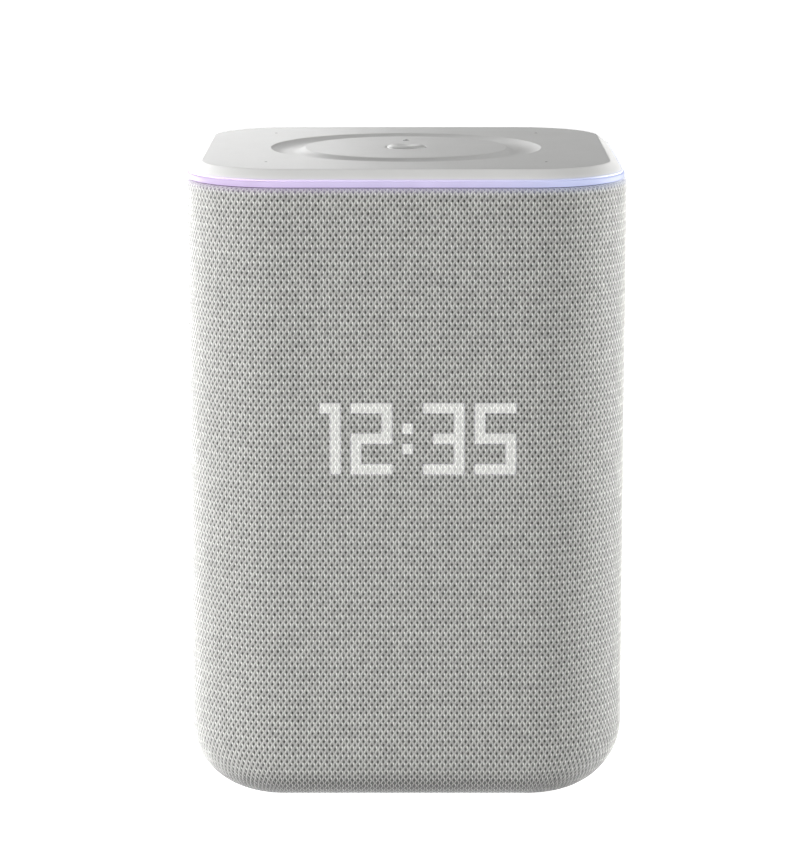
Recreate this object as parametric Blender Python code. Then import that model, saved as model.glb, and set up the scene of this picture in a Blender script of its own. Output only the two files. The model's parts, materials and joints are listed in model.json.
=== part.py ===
"""Smart speaker with a knitted sleeve, a lit ring and a dot display, as separate pieces.

Run with: blender --background --python part.py
Metres, +Z up. The front faces -Y and the origin is the middle of the foot's underside.
"""

import math

import bmesh
import bpy
from mathutils import Euler, Matrix, Vector

MM = 0.001

# Driving dimensions
WIDTH = 148 * MM
HEIGHT = 218 * MM
CORNER = 33 * MM  # plan radius of the four upright corners
FILLET = 24 * MM  # radius where the sides turn under
UNDERSIDE = 1.2 * MM  # the sleeve's lowest face stands this far above the table
GAP = 0.3 * MM  # clearance between neighbouring pieces

# Sleeve and the frame that carries it
HALF = WIDTH / 2
SLEEVE_WALL = 1.0 * MM
SLEEVE_TOP = 212.0 * MM
SLEEVE_HEM = 0.8 * MM
UNDER_LIP = 4 * MM  # flat turned-under margin inside the fillet
UNDER_OPENING = HALF - FILLET - UNDER_LIP
FRAME_WALL = 1.8 * MM
FRAME_TOP = 211.0 * MM

# Cap: flat top, chamfer, round finger channel
TOP_HALF = 68.5 * MM
TOP_CORNER = 28 * MM
RIM_HALF = 72.8 * MM
RIM_Z = 214.6 * MM
CAP_WALL = 2.0 * MM
CHANNEL_IN = 34.9 * MM
CHANNEL_OUT = 46.9 * MM
CHANNEL_DEPTH = 1.7 * MM
BUTTON_RADIUS = 6.75 * MM
STATUS_Y = 21 * MM
STATUS_RADIUS = 1.3 * MM
MIC_OFFSET = 46.8 * MM
MIC_HOLE = 0.55 * MM
LEG_OFFSET = 57 * MM
LEG_RADIUS = 2.4 * MM

# Light ring under the cap
RING_HALF = 73.3 * MM
RING_LOW = 212.3 * MM
RING_HIGH = 214.3 * MM
RING_LEDS_PER_SIDE = 6
BOARD_HALF = 66 * MM
BOARD_WALL = 1.2 * MM
CONTROL_BOARD_Z = 211.0 * MM
TRAY_HALF = 70.6 * MM
TRAY_Z = 204.0 * MM
TRAY_FLOOR = 2.0 * MM

# Sealed cabinet, with an electronics bay behind it
CABINET_HALF_X = 62 * MM
CABINET_FRONT = -62 * MM
CABINET_REAR = 42 * MM
CABINET_LOW = 12 * MM
CABINET_HIGH = 197 * MM
CABINET_WALL = 3.0 * MM
CABINET_CORNER = 16 * MM
LID_LOW = 198.5 * MM
LID_HIGH = 201.5 * MM
LID_SCREW_HOLE = 1.6 * MM
BASE_SCREW_HOLE = 1.7 * MM
GLAND = (30 * MM, CABINET_REAR, 108 * MM)  # where the woofer's cable leaves the cabinet
RIBBON_X = 20 * MM

# Drivers: places on the cabinet walls
WOOFER_Z = 62 * MM
WOOFER_HOLE = 32.5 * MM
PASSIVE_Y = -8 * MM
PASSIVE_Z = 80 * MM
TWEETER_X = 36 * MM
TWEETER_Z = 172 * MM
TWEETER_HOLE = 12.6 * MM

# Dot display behind the sleeve
DISPLAY_Z = 129.0 * MM
DOT_PITCH = 3.42 * MM
DOT_COLUMNS = 21
DOT_ROWS = 7
DISPLAY_BOARD_Y = -66.5 * MM

# Rear pocket with the power inlet and the mute button
POCKET_WIDTH = 40 * MM
POCKET_HEIGHT = 18 * MM
POCKET_Z = 37 * MM
POCKET_FLOOR_Y = 64.5 * MM
POCKET_WALL = 1.5 * MM
INLET_X = -9 * MM
INLET_BORE = 3.2 * MM
INLET_PIN = 1.0 * MM
INLET_WIDTH = 9 * MM
INLET_HEIGHT = 11 * MM
MUTE_X = 11 * MM
MUTE_RADIUS = 4.0 * MM
MAIN_BOARD_Y = 48 * MM
MAIN_BOARD_LOW = 28 * MM
MAIN_BOARD_HIGH = 178 * MM
MAIN_BOARD_WALL = 1.6 * MM
STUD_PIN = 1.5 * MM  # radius of the stakes that hold the main board
HEAT_SINK_Z = 118 * MM
CAPACITORS = [(x * MM, z * MM) for x in (-34, -20) for z in (58, 72)]
CHIPS = [
    (0, HEAT_SINK_Z, 36 * MM, 32 * MM),
    (24 * MM, 60 * MM, 10 * MM, 10 * MM),
    (38 * MM, 60 * MM, 7 * MM, 7 * MM),
    (24 * MM, 78 * MM, 10 * MM, 10 * MM),
    (-30 * MM, 90 * MM, 12 * MM, 8 * MM),
    (30 * MM, 156 * MM, 14 * MM, 6 * MM),
    (-30 * MM, 156 * MM, 14 * MM, 6 * MM),
]

# Base
FOOT_HALF = 43.7 * MM
FOOT_WIDTH = 7.4 * MM
BASE_POST = 26 * MM

CORNER_STEPS = 6
FILLET_STEPS = 4
SIDE_POINTS = 2  # extra points on each flat side, where a loop has to meet a circle
DRIVER_STEPS = 18
SMALL_STEPS = 8
SMOOTH_ANGLE = math.radians(35)

FACING_FRONT = Euler((math.radians(90), 0, 0))
FACING_REAR = Euler((math.radians(-90), 0, 0))
FACING_RIGHT = Euler((0, math.radians(90), 0))
FACING_LEFT = Euler((0, math.radians(-90), 0))
UPRIGHT = Euler((0, 0, 0))


# Materials


def make_material(name, colour, roughness, metallic=0.0, alpha=1.0):
    made = bpy.data.materials.new(name)
    made.use_nodes = True
    shader = made.node_tree.nodes["Principled BSDF"]
    shader.inputs["Base Color"].default_value = (*colour, 1.0)
    shader.inputs["Roughness"].default_value = roughness
    shader.inputs["Metallic"].default_value = metallic
    shader.inputs["Alpha"].default_value = alpha
    return made


def make_materials():
    return {
        "knit": make_material("knit", (0.60, 0.60, 0.57), 0.95),
        "cap": make_material("cap", (0.72, 0.72, 0.70), 0.45),
        "button": make_material("button", (0.78, 0.78, 0.77), 0.35),
        "diffuser": make_material("diffuser", (0.84, 0.78, 0.98), 0.3, alpha=0.9),
        "inner_plastic": make_material("inner_plastic", (0.10, 0.10, 0.11), 0.6),
        "cabinet": make_material("cabinet", (0.16, 0.16, 0.17), 0.55),
        "rubber": make_material("rubber", (0.25, 0.25, 0.25), 0.9),
        "soft_rubber": make_material("soft_rubber", (0.04, 0.04, 0.04), 0.85),
        "board": make_material("board", (0.03, 0.16, 0.07), 0.5),
        "led": make_material("led", (0.95, 0.93, 0.80), 0.3),
        "steel": make_material("steel", (0.55, 0.55, 0.57), 0.35, 1.0),
        "zinc": make_material("zinc", (0.70, 0.71, 0.72), 0.4, 1.0),
        "aluminium": make_material("aluminium", (0.78, 0.79, 0.80), 0.4, 1.0),
        "ferrite": make_material("ferrite", (0.07, 0.07, 0.08), 0.5),
        "cone": make_material("cone", (0.05, 0.05, 0.055), 0.7),
        "spider": make_material("spider", (0.65, 0.50, 0.18), 0.9),
        "copper": make_material("copper", (0.72, 0.40, 0.22), 0.35, 1.0),
        "wire": make_material("wire", (0.45, 0.05, 0.05), 0.5),
        "ribbon": make_material("ribbon", (0.80, 0.80, 0.78), 0.5),
        "component": make_material("component", (0.06, 0.06, 0.06), 0.5),
    }


# Shape helpers


def mm(*pairs):
    """Pairs of millimetres as pairs of metres."""
    return [(a * MM, b * MM) for a, b in pairs]


def placed(location=(0, 0, 0), turn=UPRIGHT):
    return Matrix.Translation(Vector(location)) @ turn.to_matrix().to_4x4()


def add_object(name, bm, material, place=None):
    """Links a new object that holds bm, faces outward, and stands it at place."""
    bmesh.ops.recalc_face_normals(bm, faces=bm.faces[:])
    mesh = bpy.data.meshes.new(name)
    bm.to_mesh(mesh)
    bm.free()
    mesh.shade_smooth()
    mesh.set_sharp_from_angle(angle=SMOOTH_ANGLE)
    made = bpy.data.objects.new(name, mesh)
    made.data.materials.append(material)
    made.matrix_world = place or Matrix.Identity(4)
    bpy.context.scene.collection.objects.link(made)
    return made


def rounded_rectangle(half_x, half_y, radius, z, centre_y=0.0, steps=CORNER_STEPS, side_points=0):
    """Points round a rectangle with round corners, anticlockwise, starting at its +X +Y corner."""
    corners = [(1, 1, 0), (-1, 1, 90), (-1, -1, 180), (1, -1, 270)]
    points = []
    for index, (sign_x, sign_y, start) in enumerate(corners):
        middle = Vector((sign_x * (half_x - radius), centre_y + sign_y * (half_y - radius), z))
        for step in range(steps + 1):
            angle = math.radians(start + 90 * step / steps)
            points.append(middle + radius * Vector((math.cos(angle), math.sin(angle), 0)))
        next_x, next_y, next_start = corners[(index + 1) % 4]
        far = Vector((next_x * (half_x - radius), centre_y + next_y * (half_y - radius), z))
        angle = math.radians(next_start)
        end = far + radius * Vector((math.cos(angle), math.sin(angle), 0))
        begin = points[-1]
        for step in range(1, side_points + 1):
            points.append(begin.lerp(end, step / (side_points + 1)))
    return points


def square(half, radius, z, side_points=0):
    return rounded_rectangle(half, half, radius, z, side_points=side_points)


def circle(radius, z):
    """Points on a circle that pair with those of a square() with SIDE_POINTS on each side."""
    count = 4 * (CORNER_STEPS + 1 + SIDE_POINTS)
    first = math.radians(45) - math.pi * CORNER_STEPS / count
    angles = [first + 2 * math.pi * step / count for step in range(count)]
    return [Vector((radius * math.cos(a), radius * math.sin(a), z)) for a in angles]


def loft_into(bm, loops, ring):
    """Quads between successive loops. A ring joins its last loop to its first, and a tube gets caps."""
    rows = [[bm.verts.new(point) for point in loop] for loop in loops]
    pairs = list(zip(rows, rows[1:]))
    if ring:
        pairs.append((rows[-1], rows[0]))
    for low, high in pairs:
        for index in range(len(low)):
            after = (index + 1) % len(low)
            bm.faces.new((low[index], low[after], high[after], high[index]))
    if not ring:
        bm.faces.new(rows[0])
        bm.faces.new(rows[-1])


def loft(name, loops, material, ring=True, place=None):
    bm = bmesh.new()
    loft_into(bm, loops, ring)
    return add_object(name, bm, material, place)


def turn_into(bm, outline, steps):
    """Spins a closed outline of (radius, height) about local Z. Points at radius 0 become poles."""
    verts = [bm.verts.new((radius, 0, height)) for radius, height in outline]
    edges = [bm.edges.new((a, b)) for a, b in zip(verts, verts[1:] + verts[:1])]
    edges = [e for e in edges if max(abs(v.co.x) for v in e.verts) > 1e-9]
    bmesh.ops.spin(
        bm,
        geom=verts + edges,
        cent=(0, 0, 0),
        axis=(0, 0, 1),
        angle=2 * math.pi,
        steps=steps,
        use_merge=True,
    )
    bmesh.ops.remove_doubles(bm, verts=bm.verts[:], dist=0.001 * MM)
    loose = [e for e in bm.edges if not e.link_faces]
    bmesh.ops.delete(bm, geom=loose, context="EDGES")


def turned(name, outline, material, steps=DRIVER_STEPS, place=None):
    bm = bmesh.new()
    turn_into(bm, outline, steps)
    return add_object(name, bm, material, place)


def box_into(bm, size, centre, bevel=0.0):
    made = bmesh.ops.create_cube(bm, size=1.0)["verts"]
    bmesh.ops.scale(bm, vec=Vector(size), verts=made)
    bmesh.ops.translate(bm, vec=Vector(centre), verts=made)
    if bevel:
        edges = {e for v in made for e in v.link_edges}
        bmesh.ops.bevel(bm, geom=list(edges), offset=bevel, segments=1, affect="EDGES")


def box(name, size, centre, material, bevel=0.0, place=None):
    bm = bmesh.new()
    box_into(bm, size, centre, bevel)
    return add_object(name, bm, material, place)


def copies(name, places, material, fill):
    """Equal pieces that share one mesh, each its own numbered object."""
    bm = bmesh.new()
    fill(bm)
    first = add_object(f"{name}_1", bm, material, places[0])
    for number, place in enumerate(places[1:], 2):
        made = first.copy()
        made.name = f"{name}_{number}"
        made.matrix_world = place
        bpy.context.scene.collection.objects.link(made)


def merge_into(bm, part, place):
    """Adds part, moved to place, to bm and frees it."""
    shape = bpy.data.meshes.new("part")
    part.transform(place)
    part.to_mesh(shape)
    part.free()
    bm.from_mesh(shape)
    bpy.data.meshes.remove(shape)


def screw_into(bm, head_radius, head_height, shank_radius, length):
    """A screw with its head's seat at local z 0 and its shank pointing down."""
    outline = [
        (0, head_height),
        (head_radius * 0.8, head_height),
        (head_radius, head_height * 0.6),
        (head_radius, 0),
        (shank_radius, 0),
        (shank_radius, -length + shank_radius),
        (0, -length),
    ]
    turn_into(bm, outline, SMALL_STEPS)


def modifier_with(target, operation, other):
    made = target.modifiers.new(other.name, "BOOLEAN")
    made.operation = operation
    made.solver = "EXACT"
    made.object = other
    other.hide_render = True
    other.display_type = "WIRE"


def helper(name, parts):
    """An object of closed bodies for a Boolean. Each part is a function that fills a bmesh."""
    bm = bmesh.new()
    for part in parts:
        part(bm)
    return add_object(name, bm, bpy.data.materials["component"])


def cylinder_at(radius, length, place, steps=SMALL_STEPS):
    """A function that adds a cylinder, centred on place and along its local Z."""

    def fill(bm):
        bmesh.ops.create_cone(
            bm,
            cap_ends=True,
            segments=steps,
            radius1=radius,
            radius2=radius,
            depth=length,
            matrix=place,
        )

    return fill


def slab_at(size, centre, place=None):
    """A function that adds a box of that size, centred in place's frame."""

    def fill(bm):
        part = bmesh.new()
        box_into(part, size, centre)
        merge_into(bm, part, place or Matrix.Identity(4))

    return fill


def round_slab_at(half_a, half_b, radius, low, high, place):
    """A function that adds a plate with round corners, from local z low to high."""

    def fill(bm):
        loops = [rounded_rectangle(half_a, half_b, radius, z, steps=4) for z in (low, high)]
        moved = [[place @ point for point in loop] for loop in loops]
        loft_into(bm, moved, ring=False)

    return fill


def corners_of(offset_x, offset_y, z, middle_y=0.0):
    return [(sx * offset_x, middle_y + sy * offset_y, z) for sx in (1, -1) for sy in (1, -1)]


def cross_of(offset, z):
    return [(offset, 0, z), (-offset, 0, z), (0, offset, z), (0, -offset, z)]


def swept_ribbon(name, path, width, thickness, material):
    """A flat strip, width across X, that follows path in the YZ plane."""
    loops = []
    for index, (y, z) in enumerate(path):
        before = Vector(path[max(index - 1, 0)])
        after = Vector(path[min(index + 1, len(path) - 1)])
        along = (after - before).normalized()
        across = Vector((0, -along.y, along.x)) * thickness / 2
        middle = Vector((0, y, z))
        side = Vector((width / 2, 0, 0))
        under = [middle - side - across, middle + side - across]
        over = [middle + side + across, middle - side + across]
        loops.append(under + over)
    return loft(name, loops, material, ring=False)


def cable_curve(name, route, radius, material):
    """A round cable as a curve with a bevel and filled ends."""
    curve = bpy.data.curves.new(name, "CURVE")
    curve.dimensions = "3D"
    curve.bevel_depth = radius
    curve.bevel_resolution = 1
    curve.use_fill_caps = True
    spline = curve.splines.new("POLY")
    spline.points.add(len(route) - 1)
    for point, place in zip(spline.points, route):
        point.co = (*place, 1.0)
    made = bpy.data.objects.new(name, curve)
    made.data.materials.append(material)
    bpy.context.scene.collection.objects.link(made)


def smooth_route(knots, count):
    """Points along a Catmull-Rom curve through the knots, evenly spread in its parameter."""
    ends = [knots[0], *knots, knots[-1]]
    spans = len(knots) - 1
    points = []
    for step in range(count):
        place = spans * step / (count - 1)
        index = min(int(place), spans - 1)
        t = place - index
        a, b, c, d = (Vector(p) for p in ends[index : index + 4])
        slope = (c - a) * t
        square_term = (2 * a - 5 * b + 4 * c - d) * t**2
        cube_term = (3 * b - a - 3 * c + d) * t**3
        points.append(0.5 * (2 * b + slope + square_term + cube_term))
    return points


# Sleeve and its frame


def shell_loops(outer, wall, top_loops):
    """Loops of a square shell: down its outside, round the fillet and under, then back up inside."""
    fillet = FILLET - (HALF - outer)
    centre_z = UNDERSIDE + FILLET

    def at(half, z):
        return square(half, max(CORNER - (HALF - half), 4 * MM), z)

    def arc(radius, half):
        points = []
        for step in range(FILLET_STEPS + 1):
            turn = math.radians(90 * step / FILLET_STEPS)
            points.append((half - radius * (1 - math.cos(turn)), centre_z - radius * math.sin(turn)))
        return [at(*point) for point in points + [(UNDER_OPENING, points[-1][1])]]

    outside, inside = top_loops
    loops = [at(*point) for point in outside] + arc(fillet, outer)
    loops += arc(fillet - wall, outer - wall)[::-1] + [at(*point) for point in inside]
    return loops


def rear_window(name, margin):
    """Cutter through the rear wall, margin larger than the pocket all round."""
    half_x = POCKET_WIDTH / 2 + margin
    half_z = POCKET_HEIGHT / 2 + margin
    place = placed((0, 0, POCKET_Z), FACING_REAR)
    return helper(name, [round_slab_at(half_x, half_z, 5 * MM, HALF - 8 * MM, HALF + 4 * MM, place)])


def build_sleeve(looks):
    inner = HALF - SLEEVE_WALL
    outside = [(HALF - SLEEVE_HEM, SLEEVE_TOP), (HALF, SLEEVE_TOP - SLEEVE_HEM)]
    inside = [(inner, SLEEVE_TOP - SLEEVE_HEM), (inner - SLEEVE_HEM, SLEEVE_TOP)]
    sleeve = loft("fabric_sleeve", shell_loops(HALF, SLEEVE_WALL, (outside, inside)), looks["knit"])
    modifier_with(sleeve, "DIFFERENCE", rear_window("sleeve_window", GAP))


def build_frame(looks):
    outer = HALF - SLEEVE_WALL - GAP
    inner = outer - FRAME_WALL
    loops = shell_loops(outer, FRAME_WALL, ([(outer, FRAME_TOP)], [(inner, FRAME_TOP)]))
    frame = loft("grille_frame", loops, looks["inner_plastic"])
    modifier_with(frame, "DIFFERENCE", rear_window("frame_rear_window", GAP))
    depth = 14 * MM
    front = -outer
    wide = 34 * MM
    display = placed((0, front, DISPLAY_Z), FACING_FRONT)
    openings = [
        cylinder_at(wide, depth, placed((0, front, WOOFER_Z), FACING_FRONT), 16),
        round_slab_at(38 * MM, 13.5 * MM, 2 * MM, -depth / 2, depth / 2, display),
    ]
    for side in (1, -1):
        tweeter = placed((side * TWEETER_X, front, TWEETER_Z), FACING_FRONT)
        passive = placed((side * outer, PASSIVE_Y, PASSIVE_Z), FACING_RIGHT)
        openings += [cylinder_at(12 * MM, depth, tweeter, 16), cylinder_at(wide, depth, passive, 16)]
    modifier_with(frame, "DIFFERENCE", helper("frame_openings", openings))


# Cap assembly


def channel_points():
    """(radius, drop) across the finger channel's arc, from its inner edge to its outer edge."""
    steps = 4
    width = CHANNEL_OUT - CHANNEL_IN
    points = []
    for step in range(1, steps):
        share = step / steps
        points.append((CHANNEL_IN + width * share, CHANNEL_DEPTH * math.sin(math.pi * share)))
    return points


def snap_leg_at(top):
    """A function that adds a round leg hanging from top, with a barb below the tray's floor."""
    barb = top[2] - TRAY_Z + GAP
    outline = [
        (0, 0),
        (LEG_RADIUS, 0),
        (LEG_RADIUS, -barb),
        (LEG_RADIUS + 0.9 * MM, -barb),
        (LEG_RADIUS - 0.6 * MM, -barb - 1.8 * MM),
        (0, -barb - 1.8 * MM),
    ]

    def fill(bm):
        leg = bmesh.new()
        turn_into(leg, outline, SMALL_STEPS)
        bmesh.ops.recalc_face_normals(leg, faces=leg.faces[:])
        merge_into(bm, leg, placed(top))

    return fill


def build_cap(looks):
    under = HEIGHT - CAP_WALL
    hole = BUTTON_RADIUS + GAP
    slope = RIM_HALF - TOP_HALF
    top = [circle(hole, HEIGHT), circle(CHANNEL_IN, HEIGHT)]
    top += [circle(radius, HEIGHT - drop) for radius, drop in channel_points()]
    top += [circle(CHANNEL_OUT, HEIGHT), square(TOP_HALF, TOP_CORNER, HEIGHT, SIDE_POINTS)]
    top += [square(RIM_HALF, TOP_CORNER + slope, RIM_Z, SIDE_POINTS)]
    rim = 2.7 * MM  # width of the rim's flat underside
    inset = 0.9 * MM
    bulge = under - CHANNEL_DEPTH + 0.2 * MM
    low = [
        square(RIM_HALF - rim, TOP_CORNER + slope - rim, RIM_Z, SIDE_POINTS),
        square(TOP_HALF - inset, TOP_CORNER - inset, under, SIDE_POINTS),
        circle(CHANNEL_OUT + 1.2 * MM, under),
        circle(CHANNEL_OUT - 2.0 * MM, bulge),
        circle(CHANNEL_IN + 2.0 * MM, bulge),
        circle(CHANNEL_IN - 1.2 * MM, under),
        circle(hole, under),
    ]
    cap = loft("top_plate", top + low, looks["cap"])
    legs = [snap_leg_at(at) for at in cross_of(LEG_OFFSET, under + 0.8 * MM)]
    modifier_with(cap, "UNION", helper("cap_legs", legs))
    through = 8 * MM
    spots = corners_of(MIC_OFFSET, MIC_OFFSET, HEIGHT)
    bores = [cylinder_at(MIC_HOLE, through, placed(at), 8) for at in spots]
    bores.append(cylinder_at(STATUS_RADIUS + GAP, through, placed((0, STATUS_Y, HEIGHT)), 16))
    modifier_with(cap, "DIFFERENCE", helper("cap_holes", bores))


def build_button(looks):
    edge = BUTTON_RADIUS
    outline = [
        (0, 0.35 * MM),
        (3.4 * MM, 0.5 * MM),
        (5.0 * MM, 0.75 * MM),
        (6.1 * MM, 0.6 * MM),
        (edge, -0.1 * MM),
        (edge, -2.3 * MM),
        (8.6 * MM, -2.3 * MM),
        (8.6 * MM, -3.1 * MM),
        (2.0 * MM, -3.1 * MM),
        (2.0 * MM, -4.1 * MM),
        (0, -4.1 * MM),
    ]
    turned("action_button", outline, looks["button"], 20, placed((0, 0, HEIGHT)))
    board_top = CONTROL_BOARD_Z + BOARD_WALL
    dome = [(0, 1.0), (1.4, 0.9), (1.6, 0.7), (3.1, 0.7), (3.1, 0.3), (0, 0.3)]
    turned("button_switch", mm(*dome), looks["steel"], 12, placed((0, 0, board_top)))


def build_status_lens(looks):
    outline = [
        (0, 0.35 * MM),
        (0.8 * MM, 0.25 * MM),
        (STATUS_RADIUS, -0.1 * MM),
        (STATUS_RADIUS, -2.4 * MM),
        (2.1 * MM, -2.4 * MM),
        (2.1 * MM, -3.0 * MM),
        (1.0 * MM, -3.2 * MM),
        (1.0 * MM, -5.2 * MM),
        (0, -5.2 * MM),
    ]
    turned("status_lens", outline, looks["diffuser"], 12, placed((0, STATUS_Y, HEIGHT)))


def build_light_ring(looks):
    outer_corner = CORNER - (HALF - RING_HALF)
    lip = 2.1 * MM
    leg = 6.2 * MM
    leg_top = RING_LOW + 1.3 * MM

    def at(inset, z):
        return square(RING_HALF - inset, outer_corner - inset, z)

    outside = [at(0, RING_LOW), at(0, RING_HIGH), at(lip, RING_HIGH)]
    loops = outside + [at(lip, leg_top), at(leg, leg_top), at(leg, RING_LOW)]
    loft("light_ring", loops, looks["diffuser"])


def ring_led_places():
    """Places and headings of the side-shining LEDs along the control board's edge."""
    offset = BOARD_HALF - 1.2 * MM
    spread = 80 * MM
    places = []
    for turn in range(4):
        spin = Matrix.Rotation(math.radians(90 * turn), 4, "Z")
        for index in range(RING_LEDS_PER_SIDE):
            along = spread * (index / (RING_LEDS_PER_SIDE - 1) - 0.5)
            places.append(spin @ placed((offset, along, CONTROL_BOARD_Z + BOARD_WALL)))
    return places


def build_control_board(looks):
    corner = 22 * MM
    loops = [square(BOARD_HALF, corner, z) for z in (CONTROL_BOARD_Z, CONTROL_BOARD_Z + BOARD_WALL)]
    board = loft("control_board", loops, looks["board"], ring=False)
    sunk = 0.2 * MM
    top = CONTROL_BOARD_Z + BOARD_WALL
    led = 0.9 * MM
    led_size = (1.2 * MM, 2.4 * MM, led + sunk)
    parts = [slab_at(led_size, (0, 0, (led - sunk) / 2), place) for place in ring_led_places()]
    capsule = 1.0 * MM
    capsule_size = (3.8 * MM, 3.0 * MM, capsule + sunk)
    spots = corners_of(MIC_OFFSET, MIC_OFFSET, top + (capsule - sunk) / 2)
    parts += [slab_at(capsule_size, spot) for spot in spots]
    modifier_with(board, "UNION", helper("board_parts", parts))
    reach = LEG_RADIUS + 0.6 * MM
    holes = [cylinder_at(reach, 6 * MM, placed(at)) for at in cross_of(LEG_OFFSET, CONTROL_BOARD_Z)]
    modifier_with(board, "DIFFERENCE", helper("board_holes", holes))
    film = mm((33.5, 0.0), (47.4, 0.0), (47.4, 0.4), (33.5, 0.4))
    film_z = HEIGHT - CAP_WALL - CHANNEL_DEPTH - 0.8 * MM
    turned("touch_film", film, looks["copper"], 24, placed((0, 0, film_z)))
    low = top + capsule + GAP
    height = HEIGHT - CAP_WALL - GAP - low
    bore = 0.8 * MM
    edge = 2.4 * MM

    def gasket(bm):
        turn_into(bm, [(bore, 0), (edge, 0), (edge, height), (bore, height)], SMALL_STEPS)

    spots = [placed(at) for at in corners_of(MIC_OFFSET, MIC_OFFSET, low)]
    copies("mic_gasket", spots, looks["soft_rubber"], gasket)


def build_top_tray(looks):
    corner = CORNER - (HALF - TRAY_HALF)
    rim = 2.0 * MM
    rim_top = RING_LOW - GAP - 0.1 * MM
    floor_top = TRAY_Z + TRAY_FLOOR
    opening = 22 * MM

    def at(half, z, radius=None):
        return square(half, radius or corner - (TRAY_HALF - half), z)

    loops = [
        at(TRAY_HALF, TRAY_Z),
        at(TRAY_HALF, rim_top),
        at(TRAY_HALF - rim, rim_top),
        at(TRAY_HALF - rim, floor_top),
        at(opening, floor_top, 8 * MM),
        at(opening, TRAY_Z, 8 * MM),
    ]
    tray = loft("top_tray", loops, looks["inner_plastic"])
    through = 8 * MM
    holes = [cylinder_at(LEG_RADIUS + GAP, through, placed(spot)) for spot in cross_of(LEG_OFFSET, TRAY_Z)]
    holes += [cylinder_at(LID_SCREW_HOLE, through, placed(spot)) for spot in lid_screw_places(TRAY_Z)]
    holes.append(slab_at((18 * MM, 7 * MM, through), (RIBBON_X, 50.5 * MM, TRAY_Z)))
    modifier_with(tray, "DIFFERENCE", helper("tray_holes", holes))


# Cabinet


def cabinet_loop(inset, z):
    half_y = (CABINET_REAR - CABINET_FRONT) / 2
    centre = (CABINET_REAR + CABINET_FRONT) / 2
    radius = max(CABINET_CORNER - inset, 2 * MM)
    return rounded_rectangle(CABINET_HALF_X - inset, half_y - inset, radius, z, centre, steps=5)


def lid_screw_places(z):
    half_y = (CABINET_REAR - CABINET_FRONT) / 2 - 9 * MM
    return corners_of(CABINET_HALF_X - 9 * MM, half_y, z, (CABINET_REAR + CABINET_FRONT) / 2)


def stud_places(y):
    return [(side * 40 * MM, y, z) for side in (1, -1) for z in (34 * MM, 172 * MM)]


def build_cabinet(looks):
    floor = CABINET_LOW + CABINET_WALL
    loops = [
        cabinet_loop(0, CABINET_LOW),
        cabinet_loop(0, CABINET_HIGH),
        cabinet_loop(CABINET_WALL, CABINET_HIGH),
        cabinet_loop(CABINET_WALL, floor),
    ]
    cabinet = loft("cabinet_body", loops, looks["cabinet"], ring=False)
    modifier_with(cabinet, "UNION", helper("cabinet_bosses", cabinet_bosses(floor)))
    modifier_with(cabinet, "DIFFERENCE", helper("cabinet_holes", cabinet_cuts()))


def cabinet_bosses(floor):
    """Base posts on the floor, lid bosses under the rim, and stepped studs on the rear wall."""
    standing = 9.5 * MM
    posts = corners_of(BASE_POST, BASE_POST, floor + standing / 2 - 0.5 * MM)
    bosses = [cylinder_at(4 * MM, standing, placed(at)) for at in posts]
    lid_boss = 20 * MM
    lid_places = lid_screw_places(CABINET_HIGH - lid_boss / 2 - 0.2 * MM)
    bosses += [cylinder_at(4.5 * MM, lid_boss, placed(at)) for at in lid_places]
    stud_end = MAIN_BOARD_Y - GAP
    stud = stud_end - CABINET_REAR + 0.5 * MM
    studs = stud_places(stud_end - stud / 2)
    bosses += [cylinder_at(3.2 * MM, stud, placed(at, FACING_REAR)) for at in studs]
    stake = 3.6 * MM
    stakes = stud_places(stud_end - 0.5 * MM + stake / 2)
    bosses += [cylinder_at(STUD_PIN, stake, placed(at, FACING_REAR)) for at in stakes]
    return bosses


def cabinet_cuts():
    """Driver holes, the cable gland's hole and the screw bores."""
    long = 30 * MM
    woofer = placed((0, CABINET_FRONT, WOOFER_Z), FACING_FRONT)
    cuts = [
        cylinder_at(WOOFER_HOLE, long, woofer, DRIVER_STEPS),
        cylinder_at(3.2 * MM, long, placed(GLAND, FACING_REAR), 12),
    ]
    for side in (1, -1):
        passive = placed((side * CABINET_HALF_X, PASSIVE_Y, PASSIVE_Z), FACING_RIGHT)
        tweeter = placed((side * TWEETER_X, CABINET_FRONT, TWEETER_Z), FACING_FRONT)
        cuts.append(cylinder_at(WOOFER_HOLE, long, passive, DRIVER_STEPS))
        cuts.append(cylinder_at(TWEETER_HOLE, long, tweeter, 16))
    bore = 11 * MM
    base_places = corners_of(BASE_POST, BASE_POST, CABINET_LOW - 1 * MM + bore / 2)
    cuts += [cylinder_at(BASE_SCREW_HOLE, bore, placed(at)) for at in base_places]
    lid_places = lid_screw_places(CABINET_HIGH - 8 * MM)
    cuts += [cylinder_at(LID_SCREW_HOLE, 18 * MM, placed(at)) for at in lid_places]
    return cuts


def build_lid(looks):
    plate = [cabinet_loop(0, LID_LOW), cabinet_loop(0, LID_HIGH)]
    lid = loft("cabinet_lid", plate, looks["cabinet"], ring=False)
    holes = [cylinder_at(LID_SCREW_HOLE, 12 * MM, placed(at)) for at in lid_screw_places(LID_LOW)]
    modifier_with(lid, "DIFFERENCE", helper("lid_holes", holes))
    seal_low = CABINET_HIGH + GAP
    seal_high = LID_LOW - GAP
    outer = 0.6 * MM
    inner = 2.6 * MM
    loops = [
        cabinet_loop(outer, seal_low),
        cabinet_loop(outer, seal_high),
        cabinet_loop(inner, seal_high),
        cabinet_loop(inner, seal_low),
    ]
    loft("cabinet_seal", loops, looks["soft_rubber"])

    def long_screw(bm):
        screw_into(bm, 2.9 * MM, 1.8 * MM, 1.2 * MM, 18 * MM)

    seats = lid_screw_places(TRAY_Z + TRAY_FLOOR + GAP)
    copies("tray_screw", [placed(at) for at in seats], looks["zinc"], long_screw)


# Drivers. Each stands on a cabinet wall, with local +Z pointing out of the cabinet.


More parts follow.
